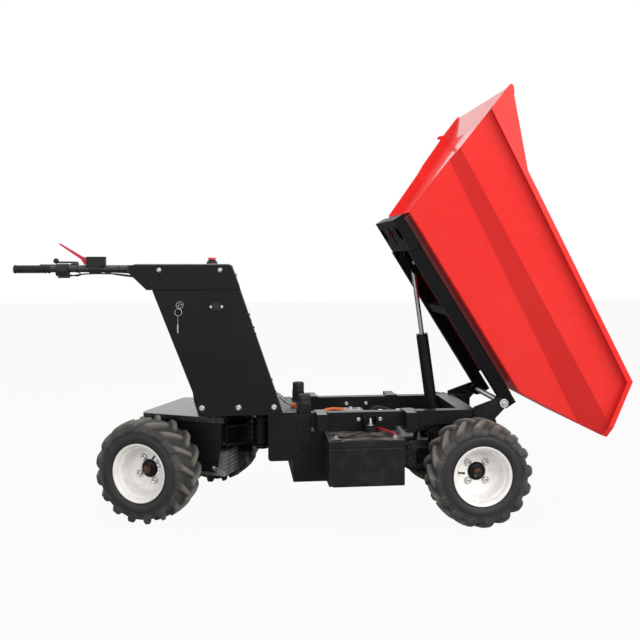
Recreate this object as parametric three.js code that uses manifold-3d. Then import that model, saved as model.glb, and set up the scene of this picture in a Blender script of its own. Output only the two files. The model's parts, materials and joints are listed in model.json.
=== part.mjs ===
// Walk-behind electric site dumper: an articulated four-wheel chassis with a tipping tub.
//
// Frame: millimetres, +X towards the tub's discharge end, +Y to the machine's left, +Z up.
// While the machine is put together X = 0 is the front axle, Y = 0 the middle of the front chassis
// and Z = 0 the ground, 205 below the axles: on other tyres the whole machine rides higher or
// lower. At the end the whole group is moved so that the origin is the bottom
// centre of its overall box. The tub stands fully tipped and the rear section is turned.
import * as THREE from "three";
import { mergeVertices } from "three/addons/utils/BufferGeometryUtils.js";
import Module from "manifold-3d";

// ---------------------------------------------------------------- driving dimensions (mm, degrees)
const seat = 0.3; // gap kept between pieces that rest on each other
const bearing = 0.5; // radial clearance of a pin or shaft in its eye
const clear = 5; // least gap between pieces that move past each other

const tyre = { radius: 205, halfWidth: 82.5, wall: 12 };
const rim = { flangeRadius: 115, barrelRadius: 100, wall: 4, halfWidth: 78, discDepth: 88 };
const hub = { radius: 33, flangeRadius: 50, inboard: 60, boreRadius: 12.5, boreDepth: 30 };
const axleHeight = 205; // axle line above Z = 0, from which the chassis is measured
const axleTube = 32; // outside radius of an axle's tube

const rail = { outer: 190, width: 40, top: 425, height: 57, rear: -639, front: 110 };
const wheelGap = 27.5; // rail's outer face to the tyre
const track = rail.outer + wheelGap + tyre.halfWidth; // wheel mid-plane to the machine's middle
const axlePad = { inner: 70, outer: 15 }; // seat of the axle, measured in from the rail's outer face
const frontPlate = { rear: -40, front: 30, wall: 5, flange: 30 };
const saddle = { length: 55, wall: 4, drop: 70, rearX: -603, frontX: -248 };
const sheet = 6; // plate of the chassis
const panel = 3; // sheet metal of the tub and the console

const bolster = { rear: -690, front: -640, postInner: 125, postOuter: 175, postTop: 456 };
const buffer = { radius: 25, landing: 1 };
const sidePlate = { rear: -811, front: -640, bottom: 238, top: 420, chamfer: 78 };
const controlBox = { rear: -711, front: -575, bottom: 152, top: 352 };
const battery = { rear: -590, front: -300, outer: 360, bottom: 180, top: 350 };
const bayFloorZ = 250;
const trayWall = 4;
const pump = { rear: -560, front: -330, y: 95, radius: 42 };

const swivel = {
  x: -828, angle: -25, pinRadius: 16, barrelRadius: 38, lugRadius: 42,
  barrelBottom: 270, barrelTop: 370, lug: 8, backPlateX: -745,
};
const rearAxleSetback = 360; // swivel pin to rear axle, with the machine straight
const rearCover = { front: -90, rear: -467, half: 190, top: 400, lip: 22, corner: 34 };
const rearFrame = {
  front: -96, rear: -450, half: 176, bottom: 296, top: rearCover.top - panel - seat, post: 22,
};

const tiltPin = { x: 143, z: 450, radius: 12, headRadius: 18.5 };
const tipAngle = 58;
const pivotPlate = { inner: rail.outer, wall: 8, rear: 20, foot: 70, drop: 59, rise: 12 };

const tub = {
  pinX: 870, pinDrop: 80, // tilt pin from the floor's rear corner
  floorHalf: 210, floorLength: 869,
  lipX: 1173, lipZ: 179, // spout tip
  frontX: 1020, frontZ: 363, // where the rim turns down to the spout
  rearX: -178, rearZ: 461, // rear end of the rim
  headX: -214, headZ: 572, // top of the headboard
  rimHalf: 355, slope: 0.254, wallInset: 45,
  stepRearX: -96, stepRearLow: 231, stepRearHigh: 279, stepFrontX: 1082, stepFrontLow: 129,
  rimFlange: 25, rimLip: 20, wingEndX: 145,
};
const rib = { inner: 150, outer: 184, height: 26 };
const beam = { inner: 148, outer: 184, top: -30, bottom: -80, rear: 20, front: 900, lugRadius: 26 };
const underRibs = -panel - rib.height - seat; // top of what carries the tub's ribs
const channel = { rear: 0, front: 145, half: 200, top: -27, bottom: -73, wall: 5 };
const crossTube = { rear: 420, front: 460, top: -34, bottom: -72 };
const rodPin = { x: 211, z: -60, radius: 9 };

const cylinder = {
  x: -90, z: 300, barrelRadius: 25, barrelLength: 414, rodRadius: 10,
  eyeRadius: 22, eyeHalf: 12, pinRadius: 8.5, tippedLength: 726.3, tippedAngle: 97.85,
  stroke: 268, rodInside: 19.5, // travel of the rod, and its length left in the barrel when tipped
};

const cheekInner = cylinder.barrelRadius + clear + 1; // rod bracket's cheeks from the middle

const consoleBox = {
  half: rail.outer, base: sidePlate.top + seat, split: 915, top: 1012,
  footRear: -1082, footFront: -751, headRear: -1349, headFront: -955,
};
const handlebar = { radius: 12.5, z: 997, half: 168, gripHalf: 200, rear: -1771, gripLength: 125 };

const controls = { throttleX: -1598, brakeX: -1628, leverX: -1474, stopButtonX: -1036 };

// ---------------------------------------------------------------- materials
function finish(colour, roughness, metalness = 0) {
  return new THREE.MeshStandardMaterial({ color: colour, roughness, metalness });
}
const blackCoat = finish(0x17181a, 0.55, 0.2);
const redCoat = finish(0xd3211f, 0.38, 0.1);
const rubber = finish(0x262625, 0.85);
const tyreRubber = finish(0x33322f, 0.9);
const creamSteel = finish(0xe8e4da, 0.45, 0.1);
const brightSteel = finish(0xc4c6c8, 0.25, 0.9);
const castAlloy = finish(0x9a9c9d, 0.5, 0.6);
const blackPlastic = finish(0x1c1d1f, 0.5);
const redPlastic = finish(0xc9262c, 0.4);

// ---------------------------------------------------------------- solids
const wasm = await Module();
wasm.setup();

function toSolid(geometry) {
  const bare = geometry.index ? geometry.toNonIndexed() : geometry.clone();
  bare.deleteAttribute("normal");
  bare.deleteAttribute("uv");
  const merged = mergeVertices(bare, 1e-4);
  const mesh = {
    numProp: 3,
    vertProperties: merged.attributes.position.array,
    triVerts: new Uint32Array(merged.index.array),
  };
  return new wasm.Manifold(new wasm.Mesh(mesh));
}

function toGeometry(solid) {
  const mesh = solid.getMesh();
  const geometry = new THREE.BufferGeometry();
  geometry.setAttribute("position", new THREE.BufferAttribute(mesh.vertProperties, 3));
  geometry.setIndex(new THREE.BufferAttribute(mesh.triVerts, 1));
  const faceted = geometry.toNonIndexed();
  faceted.computeVertexNormals();
  return faceted;
}

function join(...pieces) {
  return toGeometry(pieces.map(toSolid).reduce((whole, piece) => whole.add(piece)));
}

function cut(piece, ...tools) {
  return toGeometry(tools.map(toSolid).reduce((left, tool) => left.subtract(tool), toSolid(piece)));
}

function common(piece, other) {
  return toGeometry(toSolid(piece).intersect(toSolid(other)));
}

// Turns a closed geometry the right way round when its faces point inwards.
function outward(geometry) {
  if (toSolid(geometry).volume() >= 0) return geometry;
  const loose = geometry.index ? geometry.toNonIndexed() : geometry;
  const position = loose.getAttribute("position");
  const flipped = [];
  for (let i = 0; i < position.count; i += 3)
    for (const corner of [i, i + 2, i + 1])
      flipped.push(position.getX(corner), position.getY(corner), position.getZ(corner));
  const result = new THREE.BufferGeometry();
  result.setAttribute("position", new THREE.Float32BufferAttribute(flipped, 3));
  result.computeVertexNormals();
  return result;
}

// A box between two limits on each axis.
function block(x0, x1, y0, y1, z0, z1) {
  return new THREE.BoxGeometry(x1 - x0, y1 - y0, z1 - z0)
    .translate((x0 + x1) / 2, (y0 + y1) / 2, (z0 + z1) / 2);
}

function shapeOf(outline) {
  return new THREE.Shape(outline.map(([a, b]) => new THREE.Vector2(a, b)));
}

// A shape in X-Z with its thickness between two Y planes.
function upright(shape, y0, y1, curveSegments = 8) {
  const outline = shape instanceof THREE.Shape ? shape : shapeOf(shape);
  return new THREE.ExtrudeGeometry(outline, { depth: y1 - y0, bevelEnabled: false, curveSegments })
    .rotateX(Math.PI / 2)
    .translate(0, y1, 0);
}

// A shape in X-Y with its thickness between two Z planes.
function level(shape, z0, z1, curveSegments = 8) {
  const outline = shape instanceof THREE.Shape ? shape : shapeOf(shape);
  return new THREE.ExtrudeGeometry(outline, { depth: z1 - z0, bevelEnabled: false, curveSegments })
    .translate(0, 0, z0);
}

function rodX(x0, x1, y, z, radius, sides = 20) {
  return new THREE.CylinderGeometry(radius, radius, x1 - x0, sides)
    .rotateZ(-Math.PI / 2)
    .translate((x0 + x1) / 2, y, z);
}

function rodY(y0, y1, x, z, radius, sides = 20) {
  return new THREE.CylinderGeometry(radius, radius, y1 - y0, sides).translate(x, (y0 + y1) / 2, z);
}

function rodZ(z0, z1, x, y, radius, sides = 20) {
  return new THREE.CylinderGeometry(radius, radius, z1 - z0, sides)
    .rotateX(Math.PI / 2)
    .translate(x, y, (z0 + z1) / 2);
}

// A closed body through loops of points, one loop for each station along it.
function loft(loops) {
  const positions = [];
  const push = (...points) => points.forEach((point) => positions.push(point.x, point.y, point.z));
  for (let s = 0; s + 1 < loops.length; s++)
    loops[s].forEach((corner, i) => {
      const next = (i + 1) % loops[s].length;
      push(corner, loops[s][next], loops[s + 1][next]);
      push(corner, loops[s + 1][next], loops[s + 1][i]);
    });
  push(...cap(loops[0]).reverse());
  push(...cap(loops.at(-1)));
  const geometry = new THREE.BufferGeometry();
  geometry.setAttribute("position", new THREE.Float32BufferAttribute(positions, 3));
  return outward(geometry);
}

// The triangles that close one loop, wound as the loop is.
function cap(loop) {
  const area = new THREE.Vector3();
  loop.forEach((corner, i) => {
    area.add(new THREE.Vector3().crossVectors(corner, loop[(i + 1) % loop.length]));
  });
  const size = [Math.abs(area.x), Math.abs(area.y), Math.abs(area.z)];
  const drop = size.indexOf(Math.max(...size));
  const flat = loop.map((corner) => {
    const kept = corner.toArray().filter((value, axis) => axis !== drop);
    return new THREE.Vector2(...kept);
  });
  return THREE.ShapeUtils.triangulateShape(flat, []).flatMap((triangle) => {
    const [a, b, c] = triangle.map((i) => loop[i]);
    const normal = new THREE.Vector3().crossVectors(b.clone().sub(a), c.clone().sub(a));
    return normal.dot(area) < 0 ? [a, c, b] : [a, b, c];
  });
}

function add(group, name, geometry, material) {
  const mesh = new THREE.Mesh(geometry, material);
  mesh.name = name;
  group.add(mesh);
  return mesh;
}

// Calls make(name, side) for the right side (side -1, at -Y) and the left side (+1).
function eachSide(make) {
  make("right", -1);
  make("left", 1);
}

// The two Y limits of something that lies between two distances from the middle on one side.
function across(side, inner, outer) {
  return side > 0 ? [inner, outer] : [-outer, -inner];
}

// ---------------------------------------------------------------- wheels
// Both profiles are (radius, distance from the mid-plane), outboard positive.
function tyreGeometry() {
  const bead = rim.barrelRadius + seat;
  const crown = tyre.radius;
  const bulge = tyre.halfWidth;
  const beadHalf = rim.halfWidth - 16;
  const outer = [
    [bead, -beadHalf], [rim.flangeRadius + 2, -rim.halfWidth + 4], [crown - 55, -bulge],
    [crown - 21, 4 - bulge], [crown - 4, 22 - bulge], [crown, 50 - bulge],
  ];
  const inner = [[bead, beadHalf - tyre.wall], [crown - 55, bulge - tyre.wall], [crown - 22, 50]];
  const mirrored = (points) => points.map(([r, y]) => [r, -y]).reverse();
  return turned([...outer, ...mirrored(outer), ...inner, ...mirrored(inner)]);
}

function rimGeometry() {
  const { flangeRadius, barrelRadius, wall, halfWidth, discDepth } = rim;
  const disc = halfWidth - discDepth; // outer face of the disc
  const inside = barrelRadius - wall;
  const profile = [
    [0, disc + 14], [hub.radius - 3, disc + 14], [hub.radius, disc + 10], [hub.radius, disc],
    [inside - 10, disc], [inside, disc + 12], [inside, halfWidth - 12], [flangeRadius - 6, halfWidth],
    [flangeRadius, halfWidth - 3], [barrelRadius, halfWidth - 14],
    [barrelRadius, 14 - halfWidth], [flangeRadius, 3 - halfWidth], [flangeRadius - 6, -halfWidth],
    [inside, 12 - halfWidth], [inside, disc - 12], [hub.flangeRadius, disc - 8],
    [hub.radius + 2, disc - 16], [hub.radius + 2, -hub.inboard], [hub.boreRadius, -hub.inboard],
    [hub.boreRadius, hub.boreDepth - hub.inboard], [0, hub.boreDepth - hub.inboard],
  ];
  return turned(profile);
}

// A solid of revolution about Y whose profile starts and ends on the axis or closes on itself.
function turned(profile, sides = 28) {
  const points = profile.map(([r, y]) => new THREE.Vector2(r, y));
  if (profile[0][0] > 0) points.push(points[0].clone());
  return outward(new THREE.LatheGeometry(points, sides));
}

function addWheels(group, end, x) {
  eachSide((sideName, side) => {
    const wheel = new THREE.Group();
    wheel.position.set(x, side * track, axleHeight);
    wheel.rotation.z = side > 0 ? 0 : Math.PI;
    add(wheel, `${end}_tyre_${sideName}`, tyreGeometry(), tyreRubber);
    add(wheel, `${end}_wheel_${sideName}`, rimGeometry(), creamSteel);
    group.add(wheel);
  });
}

// A drive axle with its centre at X = 0: tube, gear case and the stubs that carry the hubs.
function axleGeometry(x, motorX0, motorX1, motorY0, motorY1) {
  const tubeEnd = track - hub.inboard - clear / 2;
  const stubEnd = tubeEnd + hub.boreDepth - clear / 2;
  const stub = hub.boreRadius - bearing;
  const motor = finnedMotor(motorX0, motorX1, motorY0, motorY1);
  return join(
    rodY(-tubeEnd, tubeEnd, x, axleHeight, axleTube, 20),
    rodY(-stubEnd, stubEnd, x, axleHeight, stub, 20),
    rodY(-62, 62, x, axleHeight, 62, 24),
    motor,
  );
}

// A cast motor case whose cooling fins run across the machine on its front and rear faces.
function finnedMotor(x0, x1, y0, y1) {
  const fins = 6;
  const depth = 6;
  const bottom = axleHeight - 56;
  const pitch = 96 / fins;
  const side = (x, sign) => Array.from({ length: fins }, (_, i) => [
    [x, bottom + i * pitch], [x, bottom + (i + 0.5) * pitch],
    [x + sign * depth, bottom + (i + 0.5) * pitch], [x + sign * depth, bottom + (i + 1) * pitch],
  ]).flat();
  return upright([...side(x1, -1), ...side(x0, 1).reverse()], y0, y1);
}

// ---------------------------------------------------------------- front chassis
function addRails(group) {
  const { outer, width, top, height, rear, front } = rail;
  eachSide((name, side) => {
    const saddles = [saddle.rearX, saddle.frontX].map((x) => {
      const [x0, x1] = [x - saddle.length / 2, x + saddle.length / 2];
      return join(
        block(x0, x1, ...across(side, outer - width, outer + saddle.wall), top, top + saddle.wall),
        block(x0, x1, ...across(side, outer, outer + saddle.wall), top - saddle.drop, top + 1),
      );
    });
    const tube = block(rear, front, ...across(side, outer - width, outer), top - height, top);
    const bracket = upright(pivotPlateShape(), ...across(side, outer, outer + pivotPlate.wall), 12);
    add(group, `frame_rail_${name}`, join(tube, bracket, ...saddles), blackCoat);
  });
}

// The plate that carries the tilt shaft, welded to the outside of each rail.
function pivotPlateShape() {
  const { rear, foot, drop, rise } = pivotPlate;
  const bottom = rail.top - drop;
  const shape = shapeOf([
    [rear, bottom + 8], [rear, rail.top + rise], [tiltPin.x - 16, tiltPin.z + 24],
    [tiltPin.x + 12, tiltPin.z + 18], [tiltPin.x + 21, tiltPin.z - 5], [rail.front - 1, bottom + 23],
    [rail.front + 6, bottom], [foot, bottom],
  ]);
  const hole = new THREE.Path().absarc(tiltPin.x, tiltPin.z, tiltPin.radius + seat, 0, 2 * Math.PI);
  shape.holes.push(hole);
  return shape;
}

function addTiltShaft(group) {
  const plateOut = pivotPlate.inner + pivotPlate.wall + seat;
  const shaft = [rodY(-plateOut - 1, plateOut + 1, tiltPin.x, tiltPin.z, tiltPin.radius)];
  eachSide((name, side) => {
    const [y0, y1] = across(side, plateOut, plateOut + 9);
    shaft.push(rodY(y0, y1, tiltPin.x, tiltPin.z, tiltPin.headRadius, 24));
  });
  add(group, "tilt_shaft", join(...shaft), brightSteel);
}

function addFrontPlate(group) {
  const inner = rail.outer - rail.width - seat;
  const { rear, front, wall, flange } = frontPlate;
  const plate = join(
    block(rear, front, -inner, inner, rail.top - wall, rail.top),
    block(rear, rear + wall, -inner, inner, rail.top - flange, rail.top),
  );
  add(group, "front_cross_plate", plate, blackCoat);
}

// Cross member with the two posts that carry the buffers the lowered tub lands on.
function addBolster(group) {
  const { rear, front, postInner, postOuter, postTop } = bolster;
  const postFoot = controlBox.top + seat;
  const landingZ = tiltPin.z + tub.pinDrop + underRibs - channel.wall;
  const pieces = [block(rear, front, -postOuter, postOuter, rail.top - rail.height, sidePlate.top)];
  eachSide((name, side) => {
    const [y0, y1] = across(side, postInner, postOuter);
    pieces.push(block(rear, front, y0, y1, postFoot, postTop));
    const middle = (side * (postInner + postOuter)) / 2;
    const top = landingZ - buffer.landing;
    const stop = rodZ(postTop + seat, top, (rear + front) / 2, middle, buffer.radius, 24);
    add(group, `tub_buffer_${name}`, stop, rubber);
  });
  add(group, "buffer_bolster", join(...pieces), blackCoat);
}

function addSidePlates(group) {
  const { rear, front, bottom, top, chamfer } = sidePlate;
  const corner = 14;
  const shape = new THREE.Shape()
    .moveTo(rear, top)
    .lineTo(rear, bottom + corner);
  shape.absarc(rear + corner, bottom + corner, corner, Math.PI, 1.5 * Math.PI, false);
  shape.lineTo(front - chamfer, bottom).lineTo(front, bottom + chamfer).lineTo(front, top);
  eachSide((name, side) => {
    const plate = upright(shape, ...across(side, rail.outer - sheet, rail.outer), 6);
    add(group, `side_plate_${name}`, plate, blackCoat);
  });
}

// Two lugs on a back plate, with the vertical pin that the rear section turns on.
function addSwivelFork(group) {
  const { x, pinRadius, lugRadius, barrelBottom, barrelTop, lug, backPlateX } = swivel;
  const inner = rail.outer - sheet - seat;
  const root = 110;
  const lugShape = new THREE.Shape().moveTo(backPlateX, -root).lineTo(backPlateX, root);
  lugShape.lineTo(x, lugRadius).absarc(x, 0, lugRadius, 0.5 * Math.PI, 1.5 * Math.PI, false);
  const low = barrelBottom - 2 - lug;
  const high = barrelTop + 2;
  const fork = join(
    block(backPlateX, backPlateX + sheet, -inner, inner, 250, sidePlate.top - 22),
    level(lugShape, low, low + lug),
    level(lugShape, high, high + lug),
    rodZ(low - 12, high + lug + 10, x, 0, pinRadius, 24),
    rodZ(low - 12, low, x, 0, pinRadius + 10, 24),
    rodZ(high + lug, high + lug + 10, x, 0, pinRadius + 10, 24),
  );
  add(group, "swivel_fork", fork, blackCoat);
}

function addControlBox(group) {
  const { rear, front, bottom, top } = controlBox;
  const half = rail.outer - sheet - seat;
  add(group, "control_box", block(rear, front, -half, half, bottom, top), blackCoat);
}

// Batteries hang outside the rails on one tray that also floors the bay between them.
function addBatteries(group) {
  const { rear, front, outer, bottom, top } = battery;
  const wall = trayWall;
  const sideOuter = rail.outer;
  const sideInner = sideOuter - wall;
  const bayRear = controlBox.front + seat;
  const pieces = [block(bayRear, front, -sideOuter, sideOuter, bayFloorZ, bayFloorZ + wall)];
  eachSide((name, side) => {
    const under = bottom - seat;
    const hung = across(side, sideInner, sideOuter);
    pieces.push(block(bayRear, front, ...hung, under - wall, rail.top - rail.height - seat));
    pieces.push(block(bayRear, front, ...across(side, sideInner, outer - 6), under - wall, under));
    const body = block(rear, front, ...across(side, sideOuter + seat, outer), bottom, top);
    add(group, `battery_${name}`, body, blackPlastic);
  });
  add(group, "battery_tray", join(...pieces), blackCoat);
}

function addPump(group) {
  const { rear, front, y, radius } = pump;
  const floor = bayFloorZ + trayWall + seat;
  const z = floor + radius;
  const body = join(
    rodX(rear, front, y, z, radius, 24),
    rodX(front - 60, front + 22, y, z + 6, radius - 8, 24),
    block(rear + 30, front - 90, y - 30, y + 30, floor, z),
  );
  add(group, "hydraulic_pump", body, castAlloy);
}

// Hangers below the rails for the front axle, tied by the tube with the lift cylinder's lugs.
function addFrontSubframe(group) {
  const top = rail.top - rail.height - seat;
  const foot = axleHeight + axleTube + seat;
  const lugTop = cylinder.z + 18;
  const tieZ = cylinder.z - cylinder.eyeRadius - 4 - 12;
  const pieces = [];
  eachSide((name, side) => {
    const plate = upright([[-150, top], [cylinder.x - 24, foot], [60, foot], [100, top]],
      ...across(side, rail.outer - rail.width, rail.outer - rail.width + 8));
    pieces.push(plate);
    const pad = across(side, rail.outer - axlePad.inner, rail.outer - axlePad.outer);
    pieces.push(block(-56, 56, ...pad, foot, foot + 6));
    const lug = across(side, cylinder.eyeHalf + clear, cylinder.eyeHalf + clear + 10);
    pieces.push(upright([
      [cylinder.x - 22, tieZ], [cylinder.x - 20, lugTop], [cylinder.x + 20, lugTop],
      [cylinder.x + 22, tieZ],
    ], ...lug));
  });
  const tie = rail.outer - rail.width + 4;
  pieces.push(rodY(-tie, tie, cylinder.x, tieZ, 12));
  pieces.push(rodY(-20, 20, cylinder.x, cylinder.z, cylinder.pinRadius));
  add(group, "front_subframe", join(...pieces), blackCoat);
}

// ---------------------------------------------------------------- console and handlebar
function addConsole(group) {
  const { half, base, split, top, footRear, footFront, headRear, headFront } = consoleBox;
  const lean = (z) => footFront + ((z - base) * (headFront - footFront)) / (top - base);
  const body = upright([
    [footRear, base], [footFront, base], [lean(split - seat), split - seat],
    [footRear - 179, split - seat], [footRear - 23, 515], [footRear - 18, 480],
  ], -half, half);
  const foot = block(footRear + 12, -695, -half + 10, half - 10, base, base + sheet);
  add(group, "console_body", join(body, foot), blackCoat);
  const head = upright([
    [headRear, top - 4], [headRear, 980], [headRear + 67, split], [lean(split) + 2, split],
    [lean(top) + 2, top - 6], [lean(top) - 6, top], [headRear + 4, top],
  ], -half - 2, half + 2);
  const lid = block(headRear + 16, headFront - 20, -half + 12, half - 12, top, top + panel);
  add(group, "console_head", join(head, lid), blackCoat);
}

// One bar: two arms splay back from a flange on the console to the grips.
function addHandlebar(group) {
  const { radius, z, half, gripHalf, rear, gripLength } = handlebar;
  const root = consoleBox.headRear - seat;
  const arms = [];
  eachSide((name, side) => {
    const from = new THREE.Vector3(root - 3, side * half, z);
    const to = new THREE.Vector3(rear + 4, side * gripHalf, z);
    arms.push(rodBetween(from, to, radius));
    const mouth = to.clone().lerp(from, gripLength / from.distanceTo(to));
    const end = to.clone().lerp(from, -8 / from.distanceTo(to));
    const bore = rodBetween(to.clone().lerp(from, -0.002), from, radius + seat);
    const sleeve = cut(rodBetween(end, mouth, radius + 3.5), bore);
    add(group, `grip_${name}`, sleeve, rubber);
  });
  arms.push(block(root - 6, root, -half - 20, half + 20, z - 15, z + 14));
  add(group, "handlebar", join(...arms), blackCoat);
}

function rodBetween(from, to, radius, sides = 20) {
  const axis = to.clone().sub(from);
  const upright = new THREE.Vector3(0, 1, 0);
  const turn = new THREE.Quaternion().setFromUnitVectors(upright, axis.clone().normalize());
  return new THREE.CylinderGeometry(radius, radius, axis.length(), sides)
    .applyQuaternion(turn)
    .translate(...from.clone().add(to).multiplyScalar(0.5).toArray());
}

// A collar that a bar passes through, at a distance back from the console.
function armAt(side, x) {
  const root = consoleBox.headRear - seat;
  const along = (root - x) / (root - handlebar.rear);
  return side * (handlebar.half + (handlebar.gripHalf - handlebar.half) * along);
}

function addControls(group) {
  const { z, radius } = handlebar;
  const bore = (side, x) => {
    const from = new THREE.Vector3(x + 60, armAt(side, x + 60), z);
    const to = new THREE.Vector3(x - 60, armAt(side, x - 60), z);
    return rodBetween(from, to, radius + seat);
  };
  const { throttleX, brakeX, leverX } = controls;
  const throttleY = armAt(-1, throttleX);
  const throttle = cut(join(
    rodX(throttleX - 22, throttleX + 22, throttleY, z - 3, 24, 24),
    block(throttleX - 14, throttleX + 26, throttleY - 14, throttleY + 14, z - 34, z - 6),
  ), bore(-1, throttleX));
  add(group, "throttle_housing", throttle, blackPlastic);

  const brakeY = armAt(1, brakeX);
  const stalk = rodX(brakeX - 78, brakeX + 6, brakeY, z + 24, 4, 12);
  const knob = new THREE.SphereGeometry(12, 14, 10).translate(brakeX - 78, brakeY, z + 30);
  const collar = rodX(brakeX - 12, brakeX + 14, brakeY, z + 4, 23, 20);
  const brake = cut(join(collar, stalk, knob), bore(1, brakeX));
  add(group, "direction_lever", brake, blackPlastic);

  const leverY = armAt(-1, leverX);
  const housing = cut(join(
    block(leverX - 34, leverX + 36, leverY - 17, leverY + 17, z + 10, z + 48),
    rodX(leverX - 24, leverX + 20, leverY, z, 19, 24),
  ), bore(-1, leverX));
  add(group, "lever_housing", housing, blackPlastic);
  const foot = leverX - 34 - seat;
  const lever = upright([
    [foot, z + 16], [foot, z + 44], [foot - 16, z + 48], [foot - 100, z + 99], [foot - 104, z + 98],
    [foot - 103, z + 95], [foot - 22, z + 38], [foot - 8, z + 16],
  ], leverY - 9, leverY + 9);
  add(group, "tip_lever", lever, redPlastic);
}

function addStopButton(group) {
  const top = consoleBox.top + panel + seat;
  const profile = [
    [0, 0], [24, 0], [22, 8], [13, 13], [13, 17], [19, 19], [19, 24], [15, 27], [0, 27],
  ];
  const button = turned(profile, 28).rotateX(Math.PI / 2).translate(controls.stopButtonX, 0, top);
  add(group, "stop_button", button, redPlastic);
}

// ---------------------------------------------------------------- rear section
// Built straight behind its swivel pin, with X = 0 at the pin, then turned as a whole.
function addSwivelBarrel(group) {
  const { pinRadius, barrelRadius, barrelBottom, barrelTop } = swivel;
  const { front, half } = rearFrame;
  const arm = new THREE.Shape().moveTo(front + 2, -half + 30).lineTo(0, -barrelRadius);
  arm.lineTo(0, barrelRadius).lineTo(front + 2, half - 30);
  const web = 7;
  const barrel = cut(
    join(
      rodZ(barrelBottom, barrelTop, 0, 0, barrelRadius, 28),
      level(arm, barrelBottom + 10, barrelBottom + 10 + web),
      level(arm, barrelTop - 10 - web, barrelTop - 10),
      block(front - sheet, front + 2, 30 - half, half - 30, barrelBottom + 4, barrelTop - 4),
    ),
    rodZ(barrelBottom - 10, barrelTop + 10, 0, 0, pinRadius + bearing, 24),
  );
  add(group, "swivel_barrel", barrel, blackCoat);
}

// Two side plates with corner posts, a rear plate, and the hangers down to the axle.
function addRearFrame(group) {
  const { front, rear, half, bottom, top, post } = rearFrame;
  const pieces = [block(rear, rear + sheet, -half, half, bottom, top)];
  const postRear = front - sheet - seat - post;
  const foot = axleHeight + axleTube + seat;
  eachSide((name, side) => {
    pieces.push(block(rear, postRear + post, ...across(side, half - sheet, half), bottom, top));
    pieces.push(block(postRear, postRear + post, ...across(side, half - post, half), bottom, top));
    pieces.push(upright([
      [rear + 40, bottom + 1], [-rearAxleSetback - 40, foot], [-rearAxleSetback + 60, foot],
      [postRear - 90, foot - 60], [postRear, foot - 60], [postRear + post, bottom + 1],
    ], ...across(side, half - sheet, half)));
    const shoe = across(side, half - 46, half);
    pieces.push(block(-rearAxleSetback - 40, -rearAxleSetback + 40, ...shoe, foot, foot + sheet));
  });
  const cross = block(postRear, postRear + post, -half, half, bottom, bottom + 12);
  add(group, "rear_frame", join(...pieces, cross), blackCoat);
}

// Folded cover: rounded rear corners, front corners cut back to clear the side plates.
function addRearCover(group) {
  const { front, rear, half, top, lip, corner } = rearCover;
  const outline = (inset) => {
    const edge = half - inset;
    const back = rear + inset;
    const round = corner - inset;
    const cutBack = 12;
    const ahead = front - inset;
    const shape = new THREE.Shape().moveTo(ahead - cutBack, -edge).lineTo(ahead, cutBack - edge);
    shape.lineTo(ahead, edge - cutBack).lineTo(ahead - cutBack, edge);
    shape.lineTo(back + round, edge);
    shape.absarc(back + round, edge - round, round, 0.5 * Math.PI, Math.PI, false);
    shape.absarc(back + round, round - edge, round, Math.PI, 1.5 * Math.PI, false);
    return shape;
  };
  const cover = cut(
    level(outline(0), top - lip, top, 6),
    level(outline(panel), top - lip - 1, top - panel, 6),
  );
  add(group, "rear_cover", cover, blackCoat);
}

function addRearSection(group) {
  const rearGroup = new THREE.Group();
  rearGroup.position.set(swivel.x, 0, 0);
  rearGroup.rotation.z = THREE.MathUtils.degToRad(swivel.angle);
  addSwivelBarrel(rearGroup);
  addRearFrame(rearGroup);
  addRearCover(rearGroup);
  const motorFront = rearFrame.front - 16;
  const axle = axleGeometry(-rearAxleSetback, -rearAxleSetback + 40, motorFront, -125, 10);
  add(rearGroup, "rear_axle", axle, castAlloy);
  addWheels(rearGroup, "rear", -rearAxleSetback);
  group.add(rearGroup);
}

// ---------------------------------------------------------------- tub
// Built with X along the floor from its rear corner and Z up from the floor.
const rimSlope = (tub.frontZ - tub.rearZ) / (tub.frontX - tub.rearX);
const rimZ = (x) => tub.rearZ + rimSlope * (x - tub.rearX);

// The left side wall's three flat faces, each as Y = a + b X + c Z.
const lowerFace = { a: tub.floorHalf, b: 0, c: tub.slope };
const upperFace = { a: tub.rimHalf - tub.slope * rimZ(0), b: -tub.slope * rimSlope, c: tub.slope };
const on = (face, x, z) => face.a + face.b * x + face.c * z;
const stepFace = faceThrough(
  [tub.stepRearX, on(lowerFace, tub.stepRearX, tub.stepRearLow), tub.stepRearLow],
  [tub.stepFrontX, on(lowerFace, tub.stepFrontX, tub.stepFrontLow), tub.stepFrontLow],
  [tub.stepRearX, on(upperFace, tub.stepRearX, tub.stepRearHigh), tub.stepRearHigh],
);
const inset = (face, depth) => ({ ...face, a: face.a - depth * Math.hypot(1, face.b, face.c) });
const outerFaces = [lowerFace, stepFace, upperFace];
const innerFaces = outerFaces.map((face) => inset(face, panel));

function faceThrough(...points) {
  const plane = new THREE.Plane().setFromCoplanarPoints(...points.map((p) => new THREE.Vector3(...p)));
  const { x, y, z } = plane.normal;
  return { a: -plane.constant / y, b: -x / y, c: -z / y };
}

// Height at which two faces meet along a line X = x0 + k Z.
function crease(one, other, x0, k = 0) {
  return (other.a - one.a + (other.b - one.b) * x0) / (one.c - other.c - (other.b - one.b) * k);
}

// Where the wall made of these faces stands at one place: straight, out along the step, straight.
function wallAt([lower, step, upper], x, z) {
  return Math.max(on(lower, x, z), Math.min(on(step, x, z), on(upper, x, z)));
}

function wallLoop(x, side) {
  const edge = (faces) => {
    const [lower, step, upper] = faces;
    const levels = [-40, crease(lower, step, x), crease(step, upper, x), 700];
    return levels.map((z) => new THREE.Vector3(x, side * wallAt(faces, x, z), z));
  };
  return [...edge(outerFaces), ...edge(innerFaces).reverse()];
}

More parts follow.
